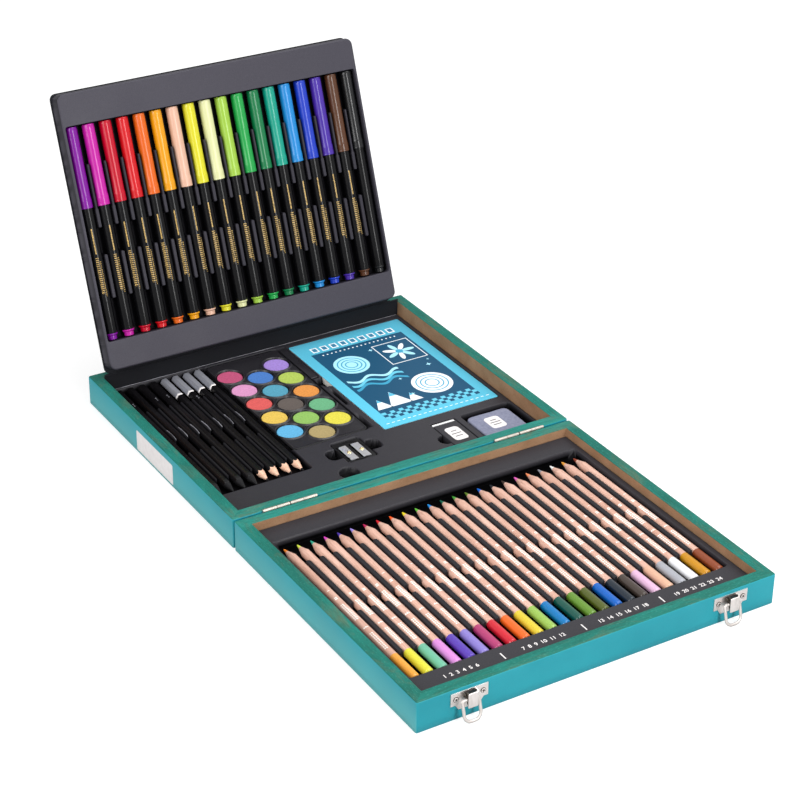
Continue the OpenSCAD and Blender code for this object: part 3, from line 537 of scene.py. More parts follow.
TEAL, STAIN, BOARD = teal_paint(), rim_stain(), bare_board()
SHEET = pressed_sheet("sheet_black", "#302F34", "#28272C", 0.42)
TRAY = pressed_sheet("tray_grey", "#3F3D46", "#37353E", 0.45)
PALETTE = pressed_sheet("palette_black", "#262529", "#1F1E22", 0.3, 0.45)
CLOTH = cloth_black()
WOOD, CORE = pencil_wood(), tinted("core_colour", 0.55, grain=0.1)
DIP = tinted("dip_lacquer", 0.24, coat=0.35, grain=0.03)
CAKE = tinted("paint_cake", 0.85, grain=0.28, scale=700)
CAP = tinted("marker_cap", 0.22, grain=0.02, gloss=0.4)
INK = tinted("printed_card", 0.5, grain=0.04, gloss=0.16)
BARREL = marker_black()
NICKEL, WIRE = nickel("nickel", "#F1E9E6", 0.36), nickel("bail_nickel", "#C9C2BE", 0.45, 0.6)
STEEL = nickel("blade_steel", "#DCDDE0", 0.3, 0.8)
# A darker copy of the nickel that paints shade on the latches' cheeks, lugs and pins, the screw rims and the hinge
# gaps.
SHADED_NICKEL = nickel("nickel_painted_shade", "#3A332B", 0.5, 0.5)
HINGE = nickel("hinge_plate", "#B6AEA5", 0.45)
SILVER, BRASS = nickel("silver_foil", "#A7A9B3", 0.34, 0.5), nickel("brass", "#E2D3A4", 0.28)
LACQUER = speckled("black_lacquer", "#0B0A0C", "#111012", 0.24, bump=0.02, gloss=0.22)
GRAPHITE = speckled("graphite", "#161618", "#212123", 0.45, gloss=0.12)
BARE = speckled("bare_wood", "#E6BFA7", "#D6A78B", 0.7, 500)
MOULDED = speckled("moulded_black", "#0B0B0D", "#111113", 0.3)
# Light grey for the painted highlights on the sheet's folds, and for the small printed marks on the sketching
# pencils.
GREY_HIGHLIGHT_AND_PRINT = speckled("grey_highlight_and_print", "#9E9EA6", "#606067", 0.32, 90)
PUTTY = speckled("grey_putty", "#85889C", "#70748A", 0.8, 420, 0.3)
RUBBER = speckled("white_rubber", "#ECECEC", "#E0DFDE", 0.75)
CARD = speckled("dark_card", "#2A292D", "#323136", 0.55)
STICKER = speckled("blank_sticker", "#EBE7E6", "#E2DDDD", 0.6, 200, 0.03)
LABEL = speckled("blank_label", "#DFDBDA", "#D7D2D2", 0.6, 200, 0.03)
PAGES = page_edges()


# ---- wooden halves ----
def case_half(body, centre_y):
    """Walls carried round the case: their section runs from the outer foot over the
    rounded rim to the ledge. Near each hinge the rim is hollowed round the pin."""
    turn = np.linspace(0, pi / 2, 6)
    edge, inner = 1.3, 0.5
    outside = [(0.4, 0.0), (0.0, 0.5), (0.0, 6.0), (0.0, 12.0), (0.0, 18.0)]
    outside += [(edge * (1 - cos(a)), HALF_H - edge * (1 - sin(a))) for a in turn]
    rim = [(3.0, HALF_H), (6.0, HALF_H)]
    rim += [(WALL - inner * (1 - sin(a)), HALF_H - inner * (1 - cos(a))) for a in turn]
    inside = [(WALL, 14.0), (WALL, PANEL), (WALL - LEDGE, PANEL), (WALL - LEDGE, 0.0), (0.4, 0.0)]
    section = outside + rim + inside
    sections = [(CASE_W - 2 * i, HALF_D - 2 * i, max(1.5 - i, 0.3), z) for i, z in section]
    ends = np.concatenate([s * HINGE_X + np.arange(-23.5, 23.6, 1.0) for s in (-1, 1)])
    xs = np.unique(np.concatenate([np.linspace(-134, 134, 30), ends]))
    p, uv = stack(sections, (0, centre_y), xs=xs, ys=np.linspace(-112, 112, 24))
    slots = [0] * (len(outside) - 4) + [1] * (len(rim) + 2) + [2] * 3 + [0] * 4
    off_y, off_z = p[..., 1] - HINGE_Y, p[..., 2] - HALF_H
    far = np.hypot(off_y, off_z)
    near = (np.abs(np.abs(p[..., 0]) - HINGE_X) < 23) & (far < KNUCKLE_ROOM)
    grow = np.where(near, KNUCKLE_ROOM / np.maximum(far, 0.3), 1.0)
    p[..., 1] = HINGE_Y + off_y * grow
    p[..., 2] = HALF_H + off_z * grow
    skin = Skin()
    side = CASE_W / 2 - np.abs(p[..., 0]) < HALF_D / 2 - np.abs(p[..., 1] - centre_y)
    lengthwise = np.where(side, p[..., 1], p[..., 0])
    crosswise = np.where(side, p[..., 0], p[..., 1]) + p[..., 2]
    skin.grid(p, np.stack([lengthwise, crosswise], -1) / 1000, slots[:len(section) - 1])
    skin.piece(f"{body}_case", body, (TEAL, STAIN, BOARD), f"{body}_walls", "case_teal", crease=50)


def bottom_panel(body, centre_y):
    """The board glued into the ledge, its lower edges eased."""
    skin = Skin()
    w, d = INNER_W + 2 * LEDGE - 0.1, INNER_D + 2 * LEDGE - 0.1
    block(skin, (0, centre_y), w, d, 0.6, 0.05, PANEL - 0.05, 0.4, 2)
    skin.piece(f"{body}_bottom", body, TEAL, f"{body}_panel", "panel_board")


for make in (case_half, bottom_panel):
    make("base", 0)
    make("lid", LID_Y)


def side_sticker():
    """A blank sticker on the base's left side, 0.15 mm thick."""
    skin = Skin()
    block(skin, (0, 0), 17, 62, 1.2, 0, 0.15, 0.05, 1)
    skin.piece("side_sticker", "base", LABEL, "side_label", "label_white",
               move=lambda p: np.column_stack([-CASE_W / 2 - p[:, 2], 4 + p[:, 1], 10.75 + p[:, 0]]))


side_sticker()

# ---- base insert ----
SKETCH_X = -90.95 + (np.arange(8) - 3.5) * 9.9
BAY = (-90.95, 19.65, 80.5, 183.5)
SKETCH_RIBS = ((-50, -4), (18, 69))
PAD = (78.1, 28.0, 105.0, 155.0)
WELL_LEFT, WELL_BACK, WELL_DX, WELL_DY = -38.7, 86.0, 21.2, 25.1
WELLS = [(WELL_LEFT + c * WELL_DX, WELL_BACK - (i + (0.5 if c == 1 else 0)) * WELL_DY)
         for c in range(3) for i in range(5)]
PALETTE_AT, WELL_FLOOR, PALETTE_FOOT = (-17.0, 33.5), BASE_TOP - 2.2, BASE_TOP - 2.6
SHARPENER, BLOCK, KNEADED = (-10.72, -64.0), (70.2, -84.5), (107.7, -86.0)
BAY_DEPTH, SHEET_CREASE = 6.41, 80
# Depth and draft of each recess, and its outline: middle and radius, or middle, width, length
# and corner. The first five are pressed before the ribs rise from the floor of the bay.
RECESSES = ((3.2, 0.6, *PALETTE_AT, 68.2, 152.4, 5.6), (5, 0.7, 20.7, 12, 2.6, 24, 1.2),
            (5, 0.7, 18.6, -30, 2.6, 20, 1.2), (3.2, 0.6, 20.2, 79, 7.6, 58, 1.5), (BAY_DEPTH, 0.9, *BAY, 3),
            (6, 0.9, *PAD[:2], 106.2, 156.2, 2), (6, 0.9, 25.0, 40, 8), (8, 0.9, *SHARPENER, 25.2, 31.2, 3),
            *((7, 1.2, SHARPENER[0] + off, SHARPENER[1], 12, 14, 5) for off in (-17, 17)),
            (7.5, 0.9, KNEADED[0] + 2, KNEADED[1] + 2, 46, 46, 3), (8, 0.9, *BLOCK, 22.2, 46.2, 1),
            (7, 1.2, 58.7, -86.5, 6.5))
DIMPLE = (SHARPENER[0] - 20, SHARPENER[1] - 28, 8)


def base_sheet():
    """The base's pressed insert: recesses, finger notches and a sunk bed for the wells."""
    half_w, half_d = INNER_W / 2 - PLAY, INNER_D / 2 - PLAY
    ribs = between(SKETCH_X)
    (bed_x, bed_y), (bay_x, bay_y, bay_w, bay_l) = PALETTE_AT, BAY
    x_bends = [bed_x - 34.1, bed_x + 34.1, bay_x - bay_w / 2, bay_x + bay_w / 2, 25.0, 131.2, 59.1, 81.3,
               86.7, 132.7, *(ribs - 0.95), *(ribs + 0.95), 0.7 - half_w, half_w - 0.7]
    y_bends = [bed_y - 76.2, bed_y + 76.2, bay_y - bay_l / 2, bay_y + bay_l / 2, -50.1, 106.1, -107.6,
               -61.4, -107.0, -61.0, 0.7 - half_d, half_d - 0.7]
    y_bends += [end for low, high in SKETCH_RIBS for end in (low + 0.6, high - 0.6)]
    fine_x = [np.arange(low, high, 0.7) for low, high in ((-40, 14), (51, 60), (16, 25))]
    fine_y = [np.arange(-101, -47, 0.7), np.arange(31, 49, 0.9)]
    xs, ys = (spaced(np.union1d(lines(-half, half, 4.5, bends, 0.63, 0.21), np.concatenate(fine)), 0.12)
              for half, bends, fine in ((half_w, x_bends, fine_x), (half_d, y_bends, fine_y)))

    def height(x, y):
        h = np.full(x.shape, BASE_TOP)
        for depth, draft, *outline in RECESSES[:5]:
            h = press(h, gap_of(x, y, *outline), BASE_TOP, BASE_TOP - depth, draft)
        for rx in ribs:
            for low, high in SKETCH_RIBS:
                rib = box_gap(x, y, rx, (low + high) / 2, 1.9, high - low, 0.95)
                h = raise_rib(h, rib, BASE_TOP - BAY_DEPTH, BASE_TOP - 0.65, 0.4)
        for depth, draft, *outline in RECESSES[5:]:
            h = press(h, gap_of(x, y, *outline), BASE_TOP, BASE_TOP - depth, draft)
        bowl = np.clip(-gap_of(x, y, *DIMPLE) / DIMPLE[2], 0, 1)
        h = np.minimum(h, BASE_TOP - 6 * np.sqrt(bowl * (2 - bowl)))
        return ease_border(h, half_w - np.abs(x), half_d - np.abs(y))

    skin = Skin()
    # Painted shade: everything more than 0.4 mm below the face is darkened to 0.45, on top of the darkening with
    # depth.
    sheet(skin, xs, ys, height, PANEL + 0.05, lambda x, y: np.where(height(x, y) < BASE_TOP - 0.4, 0.45, 1))
    skin.piece("base_tray_sheet", "base", SHEET, "base_insert", "insert_black", crease=SHEET_CREASE)


base_sheet()


def palette():
    """The paint palette: a plate with a raised edge, and a well for each paint with a
    rounded lip. The lip is a bell curve of the distance from the well's centre."""
    (cx, cy), w, l, r = PALETTE_AT, 66.8, 151.0, 5.0
    level = BASE_TOP - 0.75
    xs, ys = (np.union1d(np.arange(-span / 2, span / 2, 0.47), [span / 2]) for span in (w, l))

    def height(x, y):
        inside = np.clip(-box_gap(x, y, cx, cy, w, l, r), 0, 20)
        rise = soft_step(inside / 0.9)
        edge = level - 0.5 + 0.95 * rise - 0.45 * soft_step((inside - 1.1) / 1.6)
        near = np.min([np.hypot(x - a, y - b) for a, b in WELLS], axis=0)
        h = np.maximum(edge, level - 0.5 + 0.5 * rise + 0.95 * np.exp(-((near - 11.75) / 0.6) ** 2))
        return np.minimum(h, WELL_FLOOR + 2.8 * soft_step((near - 10.75) / 0.7))

    def shape(x, y):
        past = np.clip(np.abs(x) - (w / 2 - r), 0, r)
        end = l / 2 - r + np.sqrt(r ** 2 - past ** 2)
        share = np.clip((np.abs(y) - (l / 2 - 6)) / 6, 0, 1)
        return cx + x, cy + np.sign(y) * np.where(share > 0, l / 2 - 6 + share * (end - l / 2 + 6), np.abs(y))

    skin = Skin()
    # Painted shade: the raised edge is darkened to 0.35, and the walls of the wells darken with depth.
    sheet(skin, xs, ys, height, PALETTE_FOOT,
          lambda x, y: np.where(box_gap(x, y, cx, cy, w, l, r) > -1.1, 0.35, 1), shape, (0.95, 0.6))
    block(skin, (20.1, 79), 6.4, 56, 1.2, PALETTE_FOOT, BASE_TOP - 0.3, 0.5, 3)
    skin.piece("paint_palette", "base", PALETTE, "", "insert_black", crease=SHEET_CREASE)


palette()

# Shades of the paints, column by column from the left, each from the back
PAINT_SHADES = (
    "#C4547C #E39CCB #E2605E #EBC75A #64B9E6 #4B80CC #58A6C0 #655C57 #95C464 #B3A06D #A98BDC #B8D05E "
    "#EC9B4B #6FB888 #EBE04F").split()


def paint_tablets():
    """Pressed tablets: a rounded edge and a face that is a little dished and uneven."""
    skin = Skin()
    profile = [(0, 0.01), (0, 10.2), (0.6, 10.35), (0.95, 10.25), (1.15, 10.0), (1.2, 9.6), (1.12, 7), (1.06, 4),
               (1.04, 0.01)]
    for (x, y), shade in zip(WELLS, PAINT_SHADES):
        p, uv = revolve(profile, 48)
        rise, across, back = np.moveaxis(p, -1, 0)
        dent = random.normal(0, 0.03, 3)
        lift = rise + np.where(rise > 0.9, dent[0] * np.sin(across / 4) + dent[1] * np.cos(back / 3), 0)
        skin.grid(np.stack([x + across, y + back, WELL_FLOOR + np.maximum(lift, 0)], -1), uv,
                  tint=PAINT_DEPTH * tone(shade))
    skin.piece("paint_cakes", "base", CAKE, "paint_tablets", "paints")


paint_tablets()

# ---- lid insert ----
PENCIL_X = (np.arange(24) - 11.5) * 10.83
PENCIL_END, PENCIL_R, PENCIL_LEN = LID_Y - 90.1, 3.6, 178.0
LID_BAY = (0.0, LID_Y + 1.95, 259.99, 185.3)


def lid_sheet():
    """The lid's pressed insert: one long recess with two rows of round-topped ribs."""
    half_w, half_d = INNER_W / 2 - PLAY, INNER_D / 2 - PLAY
    ribs = between(PENCIL_X)
    front = LID_BAY[1] - LID_BAY[3] / 2
    rows = [(0.15, 0.45), (0.5, 0.83)]
    x_bends = [-130, 130, -half_w + 0.7, half_w - 0.7, *(ribs - 1.85), *(ribs + 1.85)]
    y_bends = [front, front + LID_BAY[3], LID_Y - half_d + 0.7, LID_Y + half_d - 0.7]
    y_bends += [front + share * LID_BAY[3] + s for row in rows for share, s in zip(row, (0.7, -0.7))]
    xs = lines(-half_w, half_w, 5.4, x_bends, 0.6, 0.2)
    ys = lines(LID_Y - half_d, LID_Y + half_d, 5, y_bends, 1.0, 0.25)

    def height(x, y):
        floor = LID_TOP - 7.2
        h = np.full(x.shape, LID_TOP)
        h = press(h, box_gap(x, y, *LID_BAY, 3), LID_TOP, floor)
        for rx in ribs:
            for low, high in rows:
                middle, length = front + (low + high) / 2 * LID_BAY[3], (high - low) * LID_BAY[3]
                h = raise_rib(h, box_gap(x, y, rx, middle, 3.7, length + 1, 1.85), floor, LID_TOP - 0.3, 0.55)
        return ease_border(h, half_w - np.abs(x), half_d - np.abs(y - LID_Y))

    # Painted shade: the bay is darkened to 0.6, and to 0.2 behind the pencil points.
    def dull(x, y):
        behind_points = y > LID_BAY[1] + LID_BAY[3] / 2 - 9
        return np.where(box_gap(x, y, *LID_BAY, 3) < 0, np.where(behind_points, 0.2, 0.6), 1)

    skin = Skin()
    sheet(skin, xs, ys, height, PANEL + 0.05, dull)
    skin.piece("lid_tray_sheet", "lid", SHEET, "pencil_insert", "insert_black", crease=SHEET_CREASE)


lid_sheet()

# ---- coloured pencils ----
DIP_SHADES = (
    "#F5A83C #E0DC3A #6DB99A #D98BD6 #5A3DB0 #8C7ECB #B03A6E #CE2233 #EE6A1F #E0C936 #98BE55 #0076B8 "
    "#0B5145 #648F2E #525C1E #0A61BE #1C2733 #453B35 #E1B6D6 #E1B296 #A9ABB3 #F2F2F4 #C88C14 #8C4526").split()
CORE_SHADES = (
    "#F28A2C #CFE04A #2F9F86 #D13FB4 #45309E #9A86D8 #B31E52 #D01E2C #EE5A1C #F0DA28 #5FB53A #1C86D6 "
    "#0B5B45 #3F9432 #5A7A24 #0C62C8 #1B1E26 #40302A #DD5CB4 #EE8E5E #8F9098 #F0EFEC #E09A3A #8A3E2A").split()


def coloured_pencils():
    """Round pencils turned about their axes: a domed dipped end, a plain barrel and
    a sharpened cone. Each is rolled by a few degrees, so that no two prints line up."""
    s_dip, s_cone, s_lead = 27.5, PENCIL_LEN - 12.5, PENCIL_LEN - 4.9
    wood, dips, cores = Skin(), Skin(), Skin()
    for x, dip, core in zip(PENCIL_X, DIP_SHADES, CORE_SHADES):
        roll = -pi / 2 + random.uniform(-0.25, 0.35)
        shift = random.uniform(-0.25, 0.25)

        def lay(skin, profile, tint=(1, 1, 1)):
            p, uv = revolve([(s + shift + 0.25, r) for s, r in profile], 28, roll)
            skin.grid(along_y(p, x, PENCIL_END, LID_TOP - PENCIL_R), uv, tint=tint)

        straight = [(s, 3.52) for s in (s_dip, 60, 100, 140, s_cone - 1.2)]
        lay(wood, [(s_dip - 1, 0.01), (s_dip - 1, 3.5), *straight, (s_cone - 0.2, 3.46), (s_cone + 0.3, 3.3),
                   (s_lead, 1.3), (s_lead, 0.01)])
        dome = [(0, 0.01), (0.02, 1.6), (0.15, 2.5), (0.5, 3.15), (1.0, 3.45), (1.8, 3.6),
                (s_dip - 0.4, 3.6), (s_dip, 3.57), (s_dip + 0.15, 3.4), (s_dip + 0.15, 0.01)]
        lay(dips, dome, DYE_DEPTH * tone(dip))
        point = [(s_lead - 0.5, 0.01), (s_lead - 0.5, 1.45), (s_lead, 1.36), (s_lead + 2, 0.95), (s_lead + 4.0, 0.5),
                 (s_lead + 4.4, 0.34), (s_lead + 4.5, 0.01)]
        lay(cores, point, tone(core))
    wood.piece("pencil_barrels", "lid", WOOD, "pencil_wood", "pencil_natural")
    dips.piece("pencil_ends", "lid", DIP, "pencil_dips", "pencil_dip")
    cores.piece("pencil_points", "lid", CORE, "pencil_leads", "pencil_cores")


coloured_pencils()

# ---- sketching pencils ----
SKETCH_FRONT, SKETCH_Z = -67.6, BASE_TOP - 3.2
CONE, FLAT = 0.27, 3.17  # how fast a sharpened cone widens, and how far the flats are out

def hexagon(profile, corner=0.16, n=3, sharpened=()):
    """A hexagonal rod along +X: each profile point (s, r) is a hexagon r to its
    corners, with the corners rounded off. The points numbered in sharpened lie on a
    cone from the rod's point, which cuts the faces in scallops."""
    angles, radii = [], []
    for k in range(6):
        for t in np.linspace(-corner, corner, n):
            a = t * pi / 6
            angles.append(k * pi / 3 + a)
            radii.append(cos(pi / 6) / cos(pi / 6 - abs(a)) * (1 - 0.02 * (1 - abs(t) / corner)))
    angles, radii = np.append(angles, angles[0] + 2 * pi), np.append(radii, radii[0])
    s, r = np.asarray(profile, float).T
    s = np.where(np.isin(np.arange(len(s)), sharpened)[:, None], r[:, None] * radii / CONE, s[:, None])
    r = r[:, None] * radii
    p = np.stack(np.broadcast_arrays(s, r * np.cos(angles), r * np.sin(angles)), -1)
    return p, np.stack(np.broadcast_arrays(angles[None] / (2 * pi), s / 1000), -1)


def fold_highlights():
    """Painted highlights on the sheet's sharp folds: light grey tubes, one round the front
    end of each rib beside the paints, and one along the foot of the spine."""
    skin = Skin()
    t = np.linspace(0, 1, 14)
    for rx in between(SKETCH_X):
        bowed = rx + 0.95 * np.sin(pi * (0.12 + 0.76 * t))
        tube(skin, np.column_stack([bowed, 34 - 16.2 * t, np.full(14, BASE_TOP - 0.68)]), 0.27, 0.22)
    t = np.linspace(-INNER_W / 2 + 2, INNER_W / 2 - 2, 90)
    tube(skin, np.column_stack([t, np.full(90, 112.7), BASE_TOP + 0.1 + 0.05 * np.sin(t / 5)]), 0.22, 0.2)
    skin.piece("sheet_fold_highlights", "base", GREY_HIGHLIGHT_AND_PRINT, "", "insert_black")


fold_highlights()


def sketching_pencils():
    """Eight hexagonal pencils: four woodless graphite sticks and four cased pencils
    with silver ends. Lengths run from the points to the back."""
    barrels, tips, leads, sleeves, collar_highlights, marks = (Skin() for _ in range(6))
    for k, x in enumerate(SKETCH_X):
        cased = k >= 4
        end = 147 if cased else 176.9

        def lay(skin, made):
            skin.grid(along_y(made[0], x, SKETCH_FRONT, SKETCH_Z), made[1])

        rod = [(15, 3.68), (60, 3.68), (120, 3.68), (end - 0.5, 3.68), (end, 3.4), (end, 0.01)]
        if cased:
            lay(barrels, hexagon([(14.2, 0.01), (0, 3.6), (0, 3.66), (14.4, 3.68), *rod], 0.92, 9, (1, 2)))
            lay(tips, hexagon([(0, 0.01), (0, 0.7), (0, 1.8), (0, 2.8), (0, 3.62), (14.4, 3), (14.4, 0.01)],
                              0.92, 9, range(5)))
            lay(leads, revolve([(0.1, 0.01), (0.15, 0.2), (0.5, 0.3), (3.1, 0.85), (3.3, 0.01)], 20))
            lay(sleeves, hexagon([(end + 1.9, 0.01), (end + 1.9, 3.66), (176.4, 3.66), (176.9, 3.4), (176.9, 0.01)]))
            # The white collar at the front edge of each silver end is a painted highlight.
            lay(collar_highlights, hexagon([(end - 0.2, 0.01), (end - 0.2, 3.5), (end + 0.1, 3.7), (end + 1.7, 3.7),
                                  (end + 2.0, 3.6), (end + 2.0, 0.01)], 0.5))
        else:
            lay(barrels, hexagon([(9.6, 0.01), (9.6, 3.2), (10.4, 3.62), *rod]))
            lay(leads, revolve([(0.1, 0.01), (0.15, 0.5), (0.6, 0.75), (9.8, 3.15), (9.8, 0.01)], 24))
        for row, length in enumerate((1.3, 0.6, 0.9) if k in (0, 2, 3, 5) else ()):
            y = SKETCH_FRONT + (138 if cased else 151) - row * 1.7
            block(marks, (x, y), 0.9 * length, 0.9, 0.2, SKETCH_Z + FLAT, SKETCH_Z + FLAT + 0.05, 0.02, 1)
    barrels.piece("sketch_rods", "base", LACQUER, "sketch_barrels", "sketch_black", crease=24)
    tips.piece("sketch_cones", "base", BARE, "sketch_wood_tips", "bare_wood")
    leads.piece("sketch_points", "base", GRAPHITE, "sketch_leads", "graphite")
    sleeves.piece("sketch_ends", "base", SILVER, "sketch_sleeves", "sleeve_silver", crease=24)
    collar_highlights.piece("sketch_collar_highlights", "base", STICKER, "", "sleeve_silver", crease=24)
    marks.piece("sketch_marks", "base", GREY_HIGHLIGHT_AND_PRINT, "", "label_white")


sketching_pencils()

# ---- marker tray ----
LEAN, TRAY_X, FOLD_Y, FOLD_Z = radians(20.3), -3.0, 113.2, 26.2
TRAY_W, TRAY_FOOT, TRAY_TOP, TRAY_FACE, BOARD_EDGE = 263.4, 4.5, 224.1, 13.1, 0.8
MARKER_X, MARKER_START, MARKER_D = (np.arange(18) - 8.5) * 14.4, 28.2, 7.3
MARKER_BAY = (0.0, 112.7, 256.8, 170.2)


def on_tray(p):
    """Points (across, up the board, out of the board) moved to the leaning tray."""
    across, up, out = p.T
    return np.column_stack([across + TRAY_X, FOLD_Y - out * cos(LEAN) + up * sin(LEAN),
                            FOLD_Z + out * sin(LEAN) + up * cos(LEAN)])


def tray_sheet():
    """The tray's pressed face: softly rounded outside, a deep bay for the markers, and
    tongues between them, wide beside the barrels and narrow beside the caps."""
    width, top = TRAY_W - 2 * BOARD_EDGE, TRAY_TOP - BOARD_EDGE
    middle, length, corner = (TRAY_FOOT + top) / 2, top - TRAY_FOOT, 6.0
    half_w, half_l = width / 2, length / 2
    tongues = between(MARKER_X)
    bay_foot = MARKER_BAY[1] - MARKER_BAY[3] / 2
    rows = [(0.19, 0.4, 3.5), (0.52, 0.615, 3.4), (0.6, 0.82, 2.5)]
    x_bends = [-128.4, 128.4, -half_w, half_w, *(tongues + off for w in (1.7, 1.2) for off in (-w, w))]
    x_bends = np.hstack(x_bends)
    s_bends = [bay_foot, bay_foot + MARKER_BAY[3], TRAY_FOOT, top]
    s_bends += [bay_foot + share * MARKER_BAY[3] + s for low, high, _ in rows for share, s in ((low, 1), (high, -1))]
    rim = np.append(half_w - corner * (1 - np.cos(np.linspace(0.15, 1.4, 9))), half_w)
    xs = spaced(np.union1d(lines(-half_w, half_w, 5, x_bends, 0.6, 0.24), [-rim, rim]), 0.09)
    ss = lines(TRAY_FOOT, top, 5, s_bends, 1.6, 0.27)
    def height(x, s):
        inside = np.clip(-box_gap(x, s, 0, middle, width, length, corner), 0, 1.4)
        h = TRAY_FACE - 1.4 + np.sqrt(1.4 ** 2 - (1.4 - inside) ** 2)
        h = press(h, box_gap(x, s, *MARKER_BAY, 2), TRAY_FACE, 1.9)
        for low, high, w in rows:
            centre, span = bay_foot + (low + high) / 2 * MARKER_BAY[3], (high - low) * MARKER_BAY[3]
            for tongue in tongues:
                near = np.abs(x[:, 0] - tongue) < 3
                gap = box_gap(x[near], s[near], tongue, centre, w, span, w / 2)
                h[near] = raise_rib(h[near], gap, 1.9, 10.75, 0.9)
        return h

    def shape(x, s):
        """Bring the last stretch of each grid line in to the rounded corners."""
        past = np.clip(np.abs(x) - (half_w - corner), 0, corner)
        end = half_l - corner + np.sqrt(corner ** 2 - past ** 2)
        off = s - middle
        share = np.clip((np.abs(off) - (half_l - 8)) / 8, 0, 1)
        return x, middle + np.sign(off) * np.where(share > 0, half_l - 8 + share * (end - half_l + 8), np.abs(off))

    # Painted shade: the outer edge is darkened to 0.45, and the bay with its tongues to 0.7.
    def dull(x, s):
        at_edge = box_gap(x, s, 0, middle, width, length, corner) > -0.2
        return np.where(at_edge, 0.45, np.where(box_gap(x, s, *MARKER_BAY, 2) < 0, 0.7, 1))

    skin = Skin()
    sheet(skin, xs, ss, height, 0.95, dull, shape)
    skin.piece("tray_sheet", "marker_tray", TRAY, "tray_shell", "tray_grey", crease=SHEET_CREASE, move=on_tray)


tray_sheet()


def tray_back():
    """The board behind the tray's face, with eased edges, and the cloth that laps the
    bead below it: a band 0.45 mm thick over a third of the bead's turn."""
    skin = Skin()
    start = 1.15
    block(skin, (0, (start + TRAY_TOP) / 2), TRAY_W, TRAY_TOP - start, 5.0, -0.88, 0.88, 0.35, 2)
    a = np.linspace(-1.05, 1.05, 15)
    arc = np.column_stack([np.cos(a), np.sin(a)])
    prism(skin, np.vstack([0.85 * arc, 1.3 * arc[::-1]]), 0, np.linspace(0.5 - TRAY_W / 2, TRAY_W / 2 - 0.5, 30))
    skin.piece("tray_back_board", "marker_tray", CLOTH, "tray_board", "tray_board_black", move=on_tray)


tray_back()


def spine():
    """Cloth strip up the base's back wall, with the bead that the tray turns on."""
    skin = Skin()
    half = INNER_W / 2 - PLAY
    low, front, back = BASE_TOP + 0.05, 113.25, 113.95
    bead = [(FOLD_Y + 0.78 * cos(a), FOLD_Z + 0.78 * sin(a)) for a in np.linspace(0, 1.5 * pi, 13)]
    section = [(back, low), (back, FOLD_Z), *bead, (front, FOLD_Z - 1.2), (front, low)]
    prism(skin, section, 0, np.linspace(-half, half, 40))
    skin.piece("spine_cloth", "base", CLOTH, "spine_strip", "spine_black")


spine()

CAP_SHADES = (
    "#7A0392 #BF1D9E #BC0426 #CC111B #DE6417 #E69C0B #E0B39B #D9D32A #DCDEA7 #9CC545 #1D9E48 #0D7544 "
    "#0E9B84 #1C86CD #1A3BB8 #46299C #55331E #141517").split()


def markers():
    """Felt markers: a stepped plug, a slim barrel and a cap with a knurled mouth."""
    barrels, caps, plugs = Skin(), Skin(), Skin()
    cap_start, end = 105.0, 169.0
    knurls = [(cap_start + 0.9 + i * 0.42, 5.33 - (i % 2) * 0.14) for i in range(14)]
    cap = [(cap_start, 0.01), (cap_start, 5.1), (cap_start + 0.25, 5.34), (cap_start + 0.6, 5.34), *knurls,
           (cap_start + 7.4, 5.2), (cap_start + 9, 4.95), (cap_start + 30, 4.9), (end - 2.5, 4.85),
           (end - 0.9, 4.8), (end - 0.25, 4.5), (end, 4.0), (end - 0.1, 3.2), (end - 0.6, 2.8), (end - 0.6, 0.01)]
    plug = [(0.1, 0.01), (0.1, 3.3), (0.4, 3.7), (3.4, 3.85), (3.7, 4.15), (4.1, 4.75), (4.4, 4.88), (5.1, 4.88),
            (5.3, 4.7), (5.3, 0.01)]
    barrel = [(5.1, 0.01), (5.1, 4.5), (5.45, 4.8), *((s, 4.88) for s in (5.9, 40, 75, 105.6)), (105.6, 0.01)]
    for x, shade in zip(MARKER_X, CAP_SHADES):
        roll, ink = -pi / 2 + random.uniform(-0.3, 0.2), DYE_DEPTH * tone(shade)
        for skin, profile, tint in ((caps, cap, ink), (plugs, plug, ink), (barrels, barrel, (1, 1, 1))):
            p, uv = revolve(profile, 40, roll)
            uv[..., 0] += 0.5 * (x == MARKER_X[-1])
            skin.grid(np.stack([x - p[..., 1], MARKER_START + p[..., 0], MARKER_D + p[..., 2]], -1), uv, tint=tint)
    barrels.piece("marker_stems", "marker_tray", BARREL, "marker_barrels", "marker_black", move=on_tray)
    caps.piece("marker_covers", "marker_tray", CAP, "marker_caps", "marker_colour", move=on_tray)
    plugs.piece("marker_tails", "marker_tray", CAP, "marker_plugs", "marker_colour", move=on_tray)


markers()


# ---- sketch pad ----
def band_between(skin, inner, outer, z0, z1, tint=(1, 1, 1)):
    """A closed band between two outlines with the same number of points."""
    inner, outer = closed(inner), closed(outer)
    rows = [(inner, z0), (inner, z1), (outer, z1), (outer, z0), (inner, z0)]
    p = np.stack([np.column_stack([o, np.full(len(o), z)]) for o, z in rows])
    skin.grid(p, p[..., :2] / 1000, 0, tint)


def disc(x, y, r, n=40, squash=1.0, turn=0.0):
    a = np.linspace(0, 2 * pi, n, endpoint=False)
    c, s = r * np.cos(a), r * squash * np.sin(a)
    return np.column_stack([x + c * cos(turn) - s * sin(turn), y + c * sin(turn) + s * cos(turn)])


def rect(x, y, w, d):
    return np.array([(x + i * w / 2, y + j * d / 2) for i, j in ((-1, -1), (1, -1), (1, 1), (-1, 1))])


